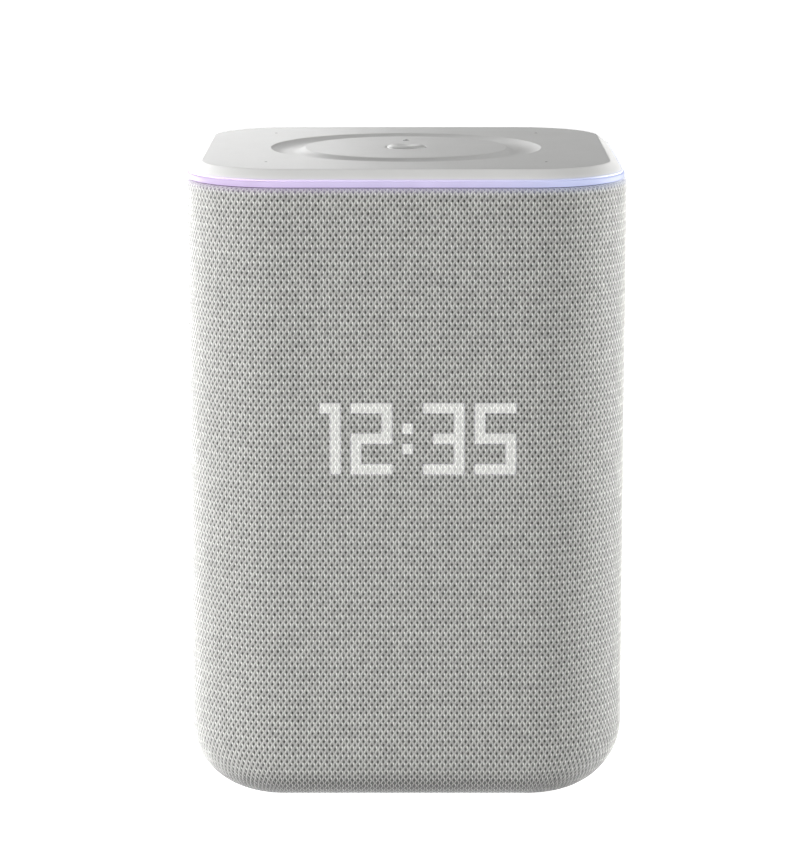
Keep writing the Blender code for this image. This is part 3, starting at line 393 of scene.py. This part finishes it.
def make_knit():
    nodes = Nodes("knitted_sleeve")
    vector, (x, y, z) = nodes.place()
    uv = nodes.add("ShaderNodeUVMap", uv_map="knit").outputs["UV"]
    split = nodes.add("ShaderNodeSeparateXYZ")
    nodes.link(uv, split.inputs[0])
    drift = nodes.math("SUBTRACT", nodes.noise(vector, 300.0, detail=1.0), 0.5)
    sway = nodes.math("SUBTRACT", nodes.noise(vector, 520.0, detail=1.0), 0.5)
    across = nodes.math("MULTIPLY_ADD", drift, WANDER_ACROSS, split.outputs[0])
    down = nodes.math("MULTIPLY_ADD", sway, WANDER_DOWN, split.outputs[1])
    stretch = nodes.ramp(z, STRETCH_FULL, STRETCH_FROM, 1.0, 0.0)
    thread, hole, painted_highlight = zigzag_threads(nodes, across, down, stretch)

    fibres = nodes.noise(vector, 2600.0, detail=2.0)
    stitch = nodes.noise(vector, 480.0, detail=1.0)
    tone = nodes.math("ADD", nodes.math("MULTIPLY", stitch, 0.5), nodes.math("MULTIPLY", fibres, 0.5))
    strand = nodes.mix(nodes.ramp(tone, 0.32, 0.68), THREAD_DARK, THREAD_PALE)
    # Painted highlight on the upper strands and crossings
    strand = nodes.mix(nodes.math("MULTIPLY", painted_highlight, 0.8), strand, THREAD_PAINTED_HIGHLIGHT)
    depth = nodes.math("MULTIPLY", hole, nodes.ramp(stitch, 0.25, 0.7, 1.06, 0.80))
    shade = nodes.mix(stretch, GAP_PALE, GAP_STRETCHED)
    gap = nodes.mix(depth, shade, GAP_DARK)
    colour = nodes.mix(thread, gap, strand)
    nodes.set(Base_Color=colour, Roughness=0.92)
    nodes.set(Sheen_Weight=0.6, Sheen_Roughness=0.5, Specular_IOR_Level=0.2)

    height = nodes.math("ADD", thread, nodes.math("MULTIPLY", painted_highlight, 0.5))
    height = nodes.math("MULTIPLY_ADD", fibres, 0.3, height)
    nodes.set(Normal=nodes.bump(height, KNIT_BUMP, 0.8))
    knit_glow(nodes, (x, y, z), depth, fibres)
    return nodes.material


def make_moulding(name, colour, roughness, grain=0.05 * MM, paint_ring_light=False):
    """Fine-textured moulded plastic with slight mottling.

    Asked to, it paints the ring's light onto its lower edge: painted shade and a lilac cast in its colour,
    and painted emission.
    """
    nodes = Nodes(name)
    vector, (x, _, z) = nodes.place()
    mottle = nodes.noise(vector, 60.0, detail=2.0)
    speckle = nodes.noise(vector, 1800.0, detail=3.0)
    darker = tuple(0.98 * c for c in colour)
    plastic = nodes.mix(nodes.ramp(mottle, 0.3, 0.7), darker, colour)
    if paint_ring_light:
        # Painted shade and ring-coloured light: the colour darkened and turned lilac towards the ring
        painted_ring_cast = nodes.ramp(z, RING_HIGH.z + 0.3 * MM, RING_HIGH.z + 1.1 * MM, 0.85, 0.0)
        plastic = nodes.mix(painted_ring_cast, plastic, ring_colour(nodes, x), blend="MULTIPLY")
    nodes.set(Base_Color=plastic)
    nodes.set(Roughness=nodes.ramp(speckle, 0.2, 0.8, roughness - 0.06, roughness + 0.06))
    nodes.set(Normal=nodes.bump(speckle, grain, 0.5))
    if paint_ring_light:
        # Painted light: emission that fades upward from the ring
        near = nodes.ramp(z, RING_HIGH.z, RING_HIGH.z + 2.2 * MM, 1.0, 0.0)
        nodes.set(Emission_Strength=nodes.math("MULTIPLY", nodes.math("POWER", near, 1.5), 0.13))
        nodes.set(Emission_Color=ring_colour(nodes, x))
    return nodes.material


def make_ring_light():
    """Translucent strip lit from inside: its own light, with a little cloudiness, hides its dark body."""
    nodes = Nodes("lit_diffuser")
    vector, (x, _, z) = nodes.place()
    cloud = nodes.noise(vector, 90.0, detail=1.0)
    nodes.set(Base_Color=nodes.mix(cloud, (0.05, 0.05, 0.06), (0.07, 0.07, 0.08)), Roughness=0.6)
    nodes.set(Specular_IOR_Level=0.15)
    upper = nodes.ramp(z, RING_LOW.z, RING_HIGH.z)
    colour = nodes.mix(nodes.math("MULTIPLY", upper, 0.10), ring_colour(nodes, x), (1.0, 1.0, 1.0))
    cloudy = nodes.ramp(cloud, 0.2, 0.8, 0.68, 0.74)
    nodes.set(Emission_Color=colour, Emission_Strength=nodes.math("MULTIPLY_ADD", upper, 0.05, cloudy))
    return nodes.material


def make_status_lens():
    """Pale resin over a dark sensor."""
    nodes = Nodes("status_resin")
    vector, (x, y, _) = nodes.place()
    across = nodes.math("POWER", nodes.math("SUBTRACT", x, LENS_MIDDLE.x), 2.0)
    along = nodes.math("POWER", nodes.math("SUBTRACT", y, LENS_MIDDLE.y), 2.0)
    radius = nodes.math("SQRT", nodes.math("ADD", across, along))
    grain = nodes.noise(vector, 900.0)
    resin = nodes.mix(grain, (0.50, 0.50, 0.50), (0.56, 0.56, 0.56))
    nodes.set(Base_Color=nodes.mix(nodes.ramp(radius, 0.45 * MM, 0.8 * MM), (0.06, 0.06, 0.07), resin))
    nodes.set(Roughness=nodes.ramp(grain, 0.2, 0.8, 0.16, 0.24))
    nodes.set(Normal=nodes.bump(grain, 0.01 * MM, 0.5))
    return nodes.material


def make_rubber(name, colour):
    nodes = Nodes(name)
    vector, _ = nodes.place()
    pores = nodes.noise(vector, 900.0)
    lighter = tuple(1.6 * c for c in colour)
    nodes.set(Base_Color=nodes.mix(nodes.ramp(pores, 0.4, 0.8), colour, lighter), Roughness=0.85)
    nodes.set(Normal=nodes.bump(pores, 0.06 * MM, 0.6))
    return nodes.material


def make_metal(name, colour, roughness, brush):
    """Plated or drawn metal with fine scratches, whose pattern brush scales along each axis."""
    nodes = Nodes(name)
    vector, _ = nodes.place()
    stretch = nodes.add("ShaderNodeMapping")
    nodes.link(vector, stretch.inputs["Vector"])
    stretch.inputs["Scale"].default_value = brush
    scratches = nodes.noise(stretch.outputs[0], 300.0, detail=4.0)
    darker = tuple(0.8 * c for c in colour)
    nodes.set(Base_Color=nodes.mix(scratches, darker, colour), Metallic=1.0)
    nodes.set(Roughness=nodes.ramp(scratches, 0.2, 0.8, roughness - 0.1, roughness + 0.1))
    nodes.set(Normal=nodes.bump(scratches, 0.03 * MM, 0.4))
    return nodes.material


def make_board():
    """Green solder mask over copper tracks."""
    nodes = Nodes("circuit_board")
    vector, _ = nodes.place()
    tracks = nodes.add("ShaderNodeTexBrick")
    nodes.link(vector, tracks.inputs["Vector"])
    tracks.inputs["Scale"].default_value = 180.0
    tracks.inputs["Mortar Size"].default_value = 0.03
    green = nodes.mix(tracks.outputs["Fac"], (0.015, 0.09, 0.035), (0.03, 0.18, 0.07))
    nodes.set(Base_Color=green, Roughness=0.4)
    nodes.set(Normal=nodes.bump(tracks.outputs["Fac"], 0.04 * MM, 0.5))
    return nodes.material


def make_cloth_ring():
    """Resin-dipped cotton of the woofer's inner suspension."""
    nodes = Nodes("dipped_cotton")
    vector, _ = nodes.place()
    weave = nodes.add("ShaderNodeTexChecker")
    nodes.link(vector, weave.inputs["Vector"])
    weave.inputs["Scale"].default_value = 1600.0
    amber = nodes.mix(weave.outputs["Fac"], (0.50, 0.37, 0.12), (0.68, 0.53, 0.20))
    nodes.set(Base_Color=amber, Roughness=0.9)
    nodes.set(Normal=nodes.bump(weave.outputs["Fac"], 0.08 * MM, 0.6))
    return nodes.material


def make_floor():
    """White floor: it glows pure white to the camera, but lights the object as a pale grey card would."""
    nodes = Nodes("pale_floor")
    vector, _ = nodes.place()
    cloud = nodes.noise(vector, 3.0)
    nodes.set(Base_Color=nodes.mix(cloud, (0.70, 0.70, 0.70), (0.72, 0.72, 0.72)), Roughness=0.9)
    nodes.set(Specular_IOR_Level=0.1, Emission_Color=(1.0, 1.0, 1.0, 1.0))
    seen = nodes.add("ShaderNodeLightPath").outputs["Is Camera Ray"]
    nodes.set(Emission_Strength=nodes.math("MULTIPLY", seen, FLOOR_GLOW))
    return nodes.material


def dress_frame(looks):
    """Gives every carried-over node its slot's material.

    The mute button shares the cap's slot, but its plastic is darker.
    """
    slots = {entry["node"]: entry["material_slot"] for entry in frame["record"]["subparts"]}
    for name, node in frame["nodes"].items():
        look = "mute" if name == "mute_button" else slots[name]
        node.data.materials.clear()
        node.data.materials.append(looks[look])


def make_looks():
    return {
        "knit": make_knit(),
        "cap": make_moulding("cap_plastic", (0.68, 0.68, 0.67), 0.42, paint_ring_light=True),
        "button": make_moulding("button_plastic", (0.70, 0.70, 0.69), 0.34, 0.03 * MM),
        "mute": make_moulding("mute_plastic", (0.36, 0.36, 0.355), 0.4, 0.03 * MM),
        "diffuser": make_ring_light(),
        "inner_plastic": make_moulding("black_plastic", (0.045, 0.045, 0.05), 0.5),
        "cabinet": make_moulding("cabinet_plastic", (0.11, 0.11, 0.12), 0.55),
        "base": make_moulding("base_plastic", (0.20, 0.20, 0.20), 0.55),
        "soft_rubber": make_rubber("soft_rubber", (0.03, 0.03, 0.03)),
        "board": make_board(),
        "status": make_status_lens(),
        "led": make_moulding("led_resin", (0.90, 0.88, 0.78), 0.25),
        "screen": make_moulding("frosted_sheet", (0.82, 0.82, 0.80), 0.6),
        "steel": make_metal("pressed_steel", (0.55, 0.55, 0.57), 0.4, (1, 1, 6)),
        "zinc": make_metal("zinc_plate", (0.68, 0.69, 0.71), 0.4, (1, 1, 1)),
        "ferrite": make_moulding("ferrite", (0.05, 0.05, 0.055), 0.6, 0.1 * MM),
        "aluminium": make_metal("extruded_aluminium", (0.78, 0.79, 0.80), 0.38, (6, 6, 0.4)),
        "cone": make_moulding("cone_paper", (0.04, 0.04, 0.043), 0.7, 0.12 * MM),
        "spider": make_cloth_ring(),
        "copper": make_metal("bare_copper", (0.80, 0.42, 0.26), 0.3, (1, 1, 8)),
        "wire": make_moulding("wire_sheath", (0.42, 0.03, 0.03), 0.5),
        "ribbon": make_moulding("ribbon_film", (0.78, 0.78, 0.76), 0.45),
        "component": make_moulding("moulding_compound", (0.035, 0.035, 0.035), 0.5),
    }


# Shapes


def columns(half, corner, count_per_side, count_per_corner):
    """Anchor and outward direction of each column round a rounded square, from the middle of the back.

    A point with corner radius r is at anchor + r * direction, so the flat sides keep their length
    and only the corners close up as r shrinks.
    """
    flat = half - corner
    made = []
    for turn in range(4):
        start = math.radians(90 * turn + 90)
        out = Vector((math.cos(start), math.sin(start), 0.0))
        along = Vector((-math.sin(start), math.cos(start), 0.0))
        for step in range(count_per_side // 2):
            made.append((out * flat + along * (2 * flat * step / count_per_side), out))
        for step in range(count_per_corner):
            angle = start + math.pi / 2 * step / count_per_corner
            made.append((out * flat + along * flat, Vector((math.cos(angle), math.sin(angle), 0.0))))
        end = math.radians(90 * turn + 180)
        out = Vector((math.cos(end), math.sin(end), 0.0))
        along = Vector((-math.sin(end), math.cos(end), 0.0))
        for step in range(count_per_side // 2):
            place = -flat + 2 * flat * step / count_per_side
            made.append((out * flat + along * place, out))
    return made


def new_piece(name, bm, material, body="housing", smooth=True):
    mesh = bpy.data.meshes.new(name)
    bm.to_mesh(mesh)
    bm.free()
    mesh.materials.append(material)
    piece = bpy.data.objects.new(name, mesh)
    bpy.context.scene.collection.objects.link(piece)
    if smooth:
        mesh.shade_smooth()
    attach(piece, body)
    return piece


def bridge(bm, rows, closed=False):
    """Quads between successive rows of vertices, each row a closed loop."""
    pairs = list(zip(rows, rows[1:]))
    if closed:
        pairs.append((rows[-1], rows[0]))
    for upper, lower in pairs:
        for index in range(len(upper)):
            after = (index + 1) % len(upper)
            bm.faces.new((upper[index], lower[index], lower[after], upper[after]))


def sleeve_point(s):
    """Where the sleeve's section runs at a length s down from the hem's inner edge.

    Gives the inset from the flat side, the height, and the normal's outward and upward parts.
    """
    hem_arc = HEM * math.pi / 2
    straight = SLEEVE_HIGH.z - HEM - SLEEVE_LOW.z - FILLET
    if s < HEM_RUN:
        return HEM + HEM_RUN - s, SLEEVE_HIGH.z, 0.0, 1.0
    s -= HEM_RUN
    if s < hem_arc:
        out, up = math.sin(s / HEM), math.cos(s / HEM)
        return HEM * (1 - out), SLEEVE_HIGH.z - HEM * (1 - up), out, up
    s -= hem_arc
    if s < straight:
        return 0.0, SLEEVE_HIGH.z - HEM - s, 1.0, 0.0
    s -= straight
    angle = min(s / FILLET, math.pi / 2)
    lip = max(s - FILLET * math.pi / 2, 0.0)
    out, down = math.cos(angle), math.sin(angle)
    return FILLET * (1 - out) + lip, SLEEVE_LOW.z + FILLET * (1 - down), out, -down


def sleeve_profile():
    """Points down the sleeve every half cell, and the whole length.

    The cells grow longer where the knit stretches round the lower edge.
    """
    curved = FILLET * math.pi / 2 + LIP
    total = HEM_RUN + HEM * math.pi / 2 + SLEEVE_HIGH.z - HEM - SLEEVE_LOW.z - FILLET + curved
    stations = [0.0]
    while stations[-1] < total:
        share = min(max((stations[-1] - (total - curved)) / (0.6 * curved), 0.0), 1.0)
        stations.append(stations[-1] + CELL_HEIGHT / 2 * (1 + EDGE_STRETCH * share))
    fit = total / stations[-1]
    return [sleeve_point(s * fit) for s in stations], total


def in_window(point):
    """Inside the sleeve's opening for the rear pocket."""
    if point.y < 0:
        return False
    beside = abs(point.x - POCKET_MIDDLE.x) < POCKET_HALF.x - WINDOW_EDGE
    level = abs(point.z - POCKET_MIDDLE.z) < POCKET_HALF.z - WINDOW_EDGE
    return beside and level


def knit_grid(bm, around, rows):
    """Two vertices per cell each way, every other one pressed in as a hole."""
    grid = []
    for row, (inset, level, out, up) in enumerate(rows):
        line = []
        for column, (anchor, direction) in enumerate(around):
            edge = row == 0 or row == len(rows) - 1
            lift = 0.0 if edge else -HOLE_DEPTH if (row + column) % 2 == 0 else THREAD_RISE
            reach = CORNER - inset + lift * out
            line.append(bm.verts.new(anchor + direction * reach + Vector((0, 0, level + lift * up))))
        grid.append(line)
    return grid


def knit_faces(bm, grid):
    """Triangles over the grid, with a map that counts cells, left open at the rear pocket."""
    uv = bm.loops.layers.uv.new("knit")
    count = len(grid[0])
    for row in range(len(grid) - 1):
        for column in range(count):
            after = (column + 1) % count
            corners = [(row, column), (row + 1, column), (row + 1, column + 1), (row, column + 1)]
            verts = [grid[row][column], grid[row + 1][column], grid[row + 1][after], grid[row][after]]
            if in_window((verts[0].co + verts[2].co) / 2):
                continue
            first = 0 if (row + column) % 2 else 1  # split along the thread, between two risen corners
            order = [(first + step) % 4 for step in range(4)]
            for triple in ((order[0], order[1], order[2]), (order[0], order[2], order[3])):
                face = bm.faces.new([verts[k] for k in triple])
                for loop, k in zip(face.loops, triple):
                    loop[uv].uv = (corners[k][1] / 2, corners[k][0] / 2)


def build_sleeve(looks):
    """Stretched knit with its holes pressed in, in staggered rows."""
    perimeter = 8 * (HALF - CORNER) + 2 * math.pi * CORNER
    per_corner = 2 * round(CELLS_AROUND * (CORNER * math.pi / 2) / perimeter)
    per_side = 2 * CELLS_AROUND // 4 - per_corner
    per_side += per_side % 2
    around = columns(HALF, CORNER, per_side, per_corner)
    rows, length = sleeve_profile()
    bm = bmesh.new()
    knit_faces(bm, knit_grid(bm, around, rows))
    sleeve = new_piece("knit_sleeve", bm, looks["knit"])
    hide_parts("fabric_sleeve")


def radial(around, radius, level):
    """A circle whose points lie on the same rays as the rounded square's columns."""
    points = []
    for anchor, direction in around:
        ray = (anchor + direction * TOP_CORNER).normalized()
        points.append(ray * radius + Vector((0, 0, level)))
    return points


def outline(around, radius, level):
    return [anchor + direction * radius + Vector((0, 0, level)) for anchor, direction in around]


def quarter_turn(steps):
    """Angles over a quarter turn, both ends included."""
    return [math.pi / 2 * step / steps for step in range(steps + 1)]


def rolled_edge(radius, angles):
    """How far a rolled edge has come in from its two sides at each angle."""
    return [(radius * (1 - math.cos(angle)), radius * (1 - math.sin(angle))) for angle in angles]


def channel_drop(share):
    """Depth of the finger channel across its width, 0 to 1: crisp edges and a round floor."""
    width = CHANNEL_LOWEST if share < CHANNEL_LOWEST else 1 - CHANNEL_LOWEST
    reach = abs(share - CHANNEL_LOWEST) / width
    return 1 - reach**CHANNEL_POWER


def channel_loops(around):
    """The finger channel, from its inner edge to its outer one."""
    loops = []
    for step in range(CHANNEL_STEPS + 1):
        share = step / CHANNEL_STEPS
        radius = CHANNEL_IN + (CHANNEL_OUT - CHANNEL_IN) * share
        loops.append(radial(around, radius, TOP - CHANNEL_DEPTH * channel_drop(share)))
    return loops


def shoulder_loops(around):
    """From the flat top's rolled edge, down the slope, round the rim and back under it."""
    rim = CAP_HIGH.x - TOP_HALF
    rim_low = RING_HIGH.z + RIM_GAP
    slope = math.atan2(TOP - rim_low - RIM_HEIGHT, rim)
    steps = 6
    loops = []
    for step in range(steps + 1):
        angle = slope * step / steps
        out = SHOULDER_ROLL * (math.sin(angle) - math.tan(slope / 2))
        loops.append(outline(around, TOP_CORNER + out, TOP - SHOULDER_ROLL * (1 - math.cos(angle))))
    foot = rim - RIM_ROLL * math.tan((math.pi / 2 - slope) / 2)
    foot_z = TOP - foot * math.tan(slope)
    for step in range(steps + 1):
        angle = slope + (math.pi / 2 - slope) * step / steps
        out = foot + RIM_ROLL * (math.sin(angle) - math.sin(slope))
        drop = RIM_ROLL * (math.cos(slope) - math.cos(angle))
        loops.append(outline(around, TOP_CORNER + out, foot_z - drop))
    loops.append(outline(around, TOP_CORNER + rim, rim_low))
    loops.append(outline(around, TOP_CORNER + rim - RIM_RETURN, rim_low))
    return loops


def build_cap(looks):
    """One skin from the button's hole outward: flat top, finger channel, slope and rim."""
    around = columns(TOP_HALF, TOP_CORNER, *CAP_COLUMNS)
    bm = bmesh.new()
    loops = [radial(around, BUTTON_HOLE, TOP - HOLE_DROP)]
    for wide, deep in rolled_edge(HOLE_ROLL, quarter_turn(4)):
        loops.append(radial(around, BUTTON_HOLE + wide, TOP - deep))
    loops += [radial(around, radius * MM, TOP) for radius in (9, 20, 30)]
    loops.append(radial(around, CHANNEL_IN - CHANNEL_EDGE, TOP))
    loops += channel_loops(around)
    loops.append(radial(around, CHANNEL_OUT + CHANNEL_EDGE, TOP))
    loops.append(radial(around, CHANNEL_OUT + 4.0 * MM, TOP))
    loops += [outline(around, TOP_CORNER - inset * MM, TOP) for inset in (6, 2.0, 0.9)]
    loops += shoulder_loops(around)
    rows = [[bm.verts.new(point) for point in loop] for loop in loops]
    bridge(bm, rows)
    cap = new_piece("cap_shell", bm, looks["cap"])
    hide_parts("top_plate")


def build_microphone_ports(looks):
    """Dark discs as painted shade for the pinholes near the corners, a hair proud of the cap's top."""
    for number, (sx, sy) in enumerate(QUADRANTS, 1):
        bm = bmesh.new()
        bmesh.ops.create_cone(
            bm, cap_ends=True, segments=24, radius1=MIC_RADIUS * 0.6, radius2=MIC_RADIUS, depth=MIC_DEPTH
        )
        place = Vector((sx * MIC_OFFSET, sy * MIC_OFFSET, TOP + MIC_PROUD - MIC_DEPTH / 2))
        bmesh.ops.translate(bm, vec=place, verts=bm.verts[:])
        port = new_piece(f"microphone_port_{number}", bm, looks["inner_plastic"], smooth=False)


def build_ring(looks):
    """Light ring with rolled outer edges."""
    corner = CORNER - (HALF - RING_HIGH.x)
    around = columns(RING_HIGH.x, corner, *RING_COLUMNS)
    low, high = RING_LOW.z + 0.05 * MM, RING_HIGH.z + 0.1 * MM
    edge = rolled_edge(RING_ROLL, quarter_turn(5))
    profile = [(RING_INSET, high)]
    profile += [(deep, high - wide) for wide, deep in edge]
    profile += [(wide, low + deep) for wide, deep in edge]
    profile += [(RING_TAIL, low), (RING_TAIL, low + RING_TAIL_HEIGHT), (RING_INSET, low + RING_TAIL_HEIGHT)]
    bm = bmesh.new()
    rows = []
    for inset, level in profile:
        rows.append([bm.verts.new(point) for point in outline(around, corner - inset, level)])
    bridge(bm, rows, closed=True)
    ring = new_piece("lit_ring", bm, looks["diffuser"])
    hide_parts("light_ring")


def lathe(name, profile, material, body, place, steps=96):
    """Turned piece from (radius, height) pairs listed from the top's middle outward and down."""
    bm = bmesh.new()
    rows = []
    for radius, height in profile:
        if radius == 0:
            rows.append(bm.verts.new((0, 0, height)))
            continue
        turns = [2 * math.pi * step / steps for step in range(steps)]
        rows.append([bm.verts.new((radius * math.cos(a), radius * math.sin(a), height)) for a in turns])
    for upper, lower in zip(rows, rows[1:]):
        for step in range(steps):
            after = (step + 1) % steps
            if isinstance(upper, list) and isinstance(lower, list):
                bm.faces.new((upper[step], lower[step], lower[after], upper[after]))
            elif isinstance(lower, list):
                bm.faces.new((upper, lower[step], lower[after]))
            else:
                bm.faces.new((upper[step], lower, upper[after]))
    bmesh.ops.translate(bm, vec=place, verts=bm.verts[:])
    return new_piece(name, bm, material, body)


def arc(centre, radius, start, end, steps):
    angles = [math.radians(start + (end - start) * step / steps) for step in range(steps + 1)]
    return [(centre[0] + radius * math.cos(a), centre[1] + radius * math.sin(a)) for a in angles]


def build_button(looks):
    """Low dome with a dished middle and a rolled edge, on a flange under the cap."""
    profile = [(0.0, CROWN_MIDDLE)]
    steps = 24
    for step in range(1, steps + 1):
        share = step / steps
        dish = CROWN_DISH * (1 - math.cos(math.pi * min(share / CROWN_PEAK, 1.0))) / 2
        fall = CROWN_FALL * max(0.0, (share - CROWN_PEAK) / (1 - CROWN_PEAK)) ** 2
        profile.append((CROWN_RADIUS * share, CROWN_MIDDLE + dish - fall))
    profile += arc((CROWN_RADIUS, -0.28 * MM), BUTTON_RADIUS - CROWN_RADIUS, 80, 0, 6)
    profile += [(BUTTON_RADIUS, -BUTTON_SKIRT), (FLANGE_RADIUS, -BUTTON_SKIRT)]
    profile += [(FLANGE_RADIUS, -FLANGE_FOOT), (0.0, -FLANGE_FOOT)]
    button = lathe("centre_button", profile, looks["button"], "action_button", Vector((0, 0, TOP)))
    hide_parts("action_button")


def build_status_lens(looks):
    profile = [(r * MM, z * MM) for r, z in LENS_DOME]
    profile += [(STEM_RADIUS, -STEM_FOOT), (0.0, -STEM_FOOT)]
    place = Vector((LENS_MIDDLE.x, LENS_MIDDLE.y, TOP))
    lens = lathe("status_light", profile, looks["status"], "housing", place, steps=40)
    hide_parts("status_lens")


def pocket_loop(bm, inset, y):
    """Rounded rectangle of vertices round the rear pocket, inset from its outside."""
    verts = []
    radius = POCKET_CORNER - inset
    for index, (sx, sz) in enumerate(QUADRANTS):
        for step in range(9):
            angle = math.radians(90 * index + 90 * step / 8)
            x = POCKET_MIDDLE.x + sx * (POCKET_HALF.x - POCKET_CORNER) + radius * math.cos(angle)
            z = POCKET_MIDDLE.z + sz * (POCKET_HALF.z - POCKET_CORNER) + radius * math.sin(angle)
            verts.append(bm.verts.new((x, y, z)))
    return verts


def build_pocket(looks):
    """Rear pocket with a rounded bezel that laps the knit's cut edge."""
    crest = HALF + BEZEL_PROUD
    floor_y = POCKET_BACK.y + POCKET_WALL
    section = [(-BEZEL_LAP, HALF - BEZEL_TUCK)]
    for wide, deep in rolled_edge(BEZEL_OUTER_ROLL, BEZEL_ANGLES):
        section.append((wide - BEZEL_LAP, crest - deep))
    for wide, deep in rolled_edge(BEZEL_INNER_ROLL, BEZEL_ANGLES):
        section.append((POCKET_WALL - deep, crest - wide))
    section.append((POCKET_WALL, floor_y + FLOOR_COVE))
    section.append((POCKET_WALL + 0.3 * FLOOR_COVE, floor_y + 0.3 * FLOOR_COVE))
    section.append((POCKET_WALL + FLOOR_COVE, floor_y))
    bm = bmesh.new()
    bridge(bm, [pocket_loop(bm, inset, y) for inset, y in section])
    pocket = new_piece("pocket_bezel", bm, looks["inner_plastic"])


# Stage


def build_stage():
    bm = bmesh.new()
    bmesh.ops.create_grid(bm, x_segments=1, y_segments=1, size=FLOOR_SIZE)
    mesh = bpy.data.meshes.new("floor")
    bm.to_mesh(mesh)
    bm.free()
    mesh.materials.append(make_floor())
    floor = bpy.data.objects.new("floor", mesh)
    bpy.context.scene.collection.objects.link(floor)


def area_light(name, place, size, power, aim=LIGHTS_AIM):
    """Soft panel that faces the object's axis at height aim."""
    data = bpy.data.lights.new(name, "AREA")
    data.shape = "RECTANGLE"
    data.size, data.size_y = size
    data.energy = power
    light = bpy.data.objects.new(name, data)
    light.location = place
    light.visible_camera = False
    light.rotation_euler = (Vector((0, 0, aim)) - Vector(place)).to_track_quat("-Z", "Y").to_euler()
    bpy.context.scene.collection.objects.link(light)


def build_lights():
    """Soft panels all round: low and mostly strong ones for the knit, high and weaker ones for the cap."""
    world = bpy.data.worlds.new("studio")
    world.use_nodes = True
    background = world.node_tree.nodes["Background"]
    background.inputs["Color"].default_value = (1.0, 1.0, 1.0, 1.0)
    background.inputs["Strength"].default_value = WORLD_STRENGTH
    bpy.context.scene.world = world
    area_light("left_high", (-0.45, 0.12, 0.42), (0.4, 0.5), 0.9)
    area_light("left_back", (-0.60, 0.45, 0.25), (0.4, 0.5), 6.3)
    area_light("left_back_low", (-0.60, 0.60, 0.08), (0.4, 0.25), 12.5)
    area_light("left_low", (-0.75, 0.10, 0.08), (0.5, 0.25), 3.6)
    area_light("front_left", (-0.60, -0.90, 0.10), (0.5, 0.2), 10.9)
    area_light("front_fill", (0.0, -1.0, 0.10), (0.7, 0.2), 1.2)
    area_light("back_panel", (-0.30, 0.75, 0.44), (0.6, 0.35), 1.55, aim=0.20)
    area_light("right_side", (0.75, 0.25, 0.08), (0.5, 0.25), 14.5)
    area_light("right_high", (0.55, 0.0, 0.40), (0.3, 0.3), 1.6)
    area_light("overhead", (0.0, 0.0, 1.1), (0.8, 0.8), 1.8)
    bpy.context.scene.view_settings.view_transform = "Standard"


def build_camera():
    data = bpy.data.cameras.new("camera")
    data.lens = CAMERA_LENS
    data.shift_x = CAMERA_SHIFT_X
    camera = bpy.data.objects.new("camera", data)
    camera.location = (0.0, -CAMERA_DISTANCE, CAMERA_HEIGHT)
    camera.rotation_euler = (math.pi / 2 - CAMERA_PITCH, 0.0, 0.0)
    bpy.context.scene.collection.objects.link(camera)
    bpy.context.scene.camera = camera


build_camera()
LOOKS = make_looks()
dress_frame(LOOKS)
build_stage()
build_lights()
build_sleeve(LOOKS)
build_cap(LOOKS)
build_microphone_ports(LOOKS)
build_ring(LOOKS)
build_button(LOOKS)
build_status_lens(LOOKS)
build_pocket(LOOKS)
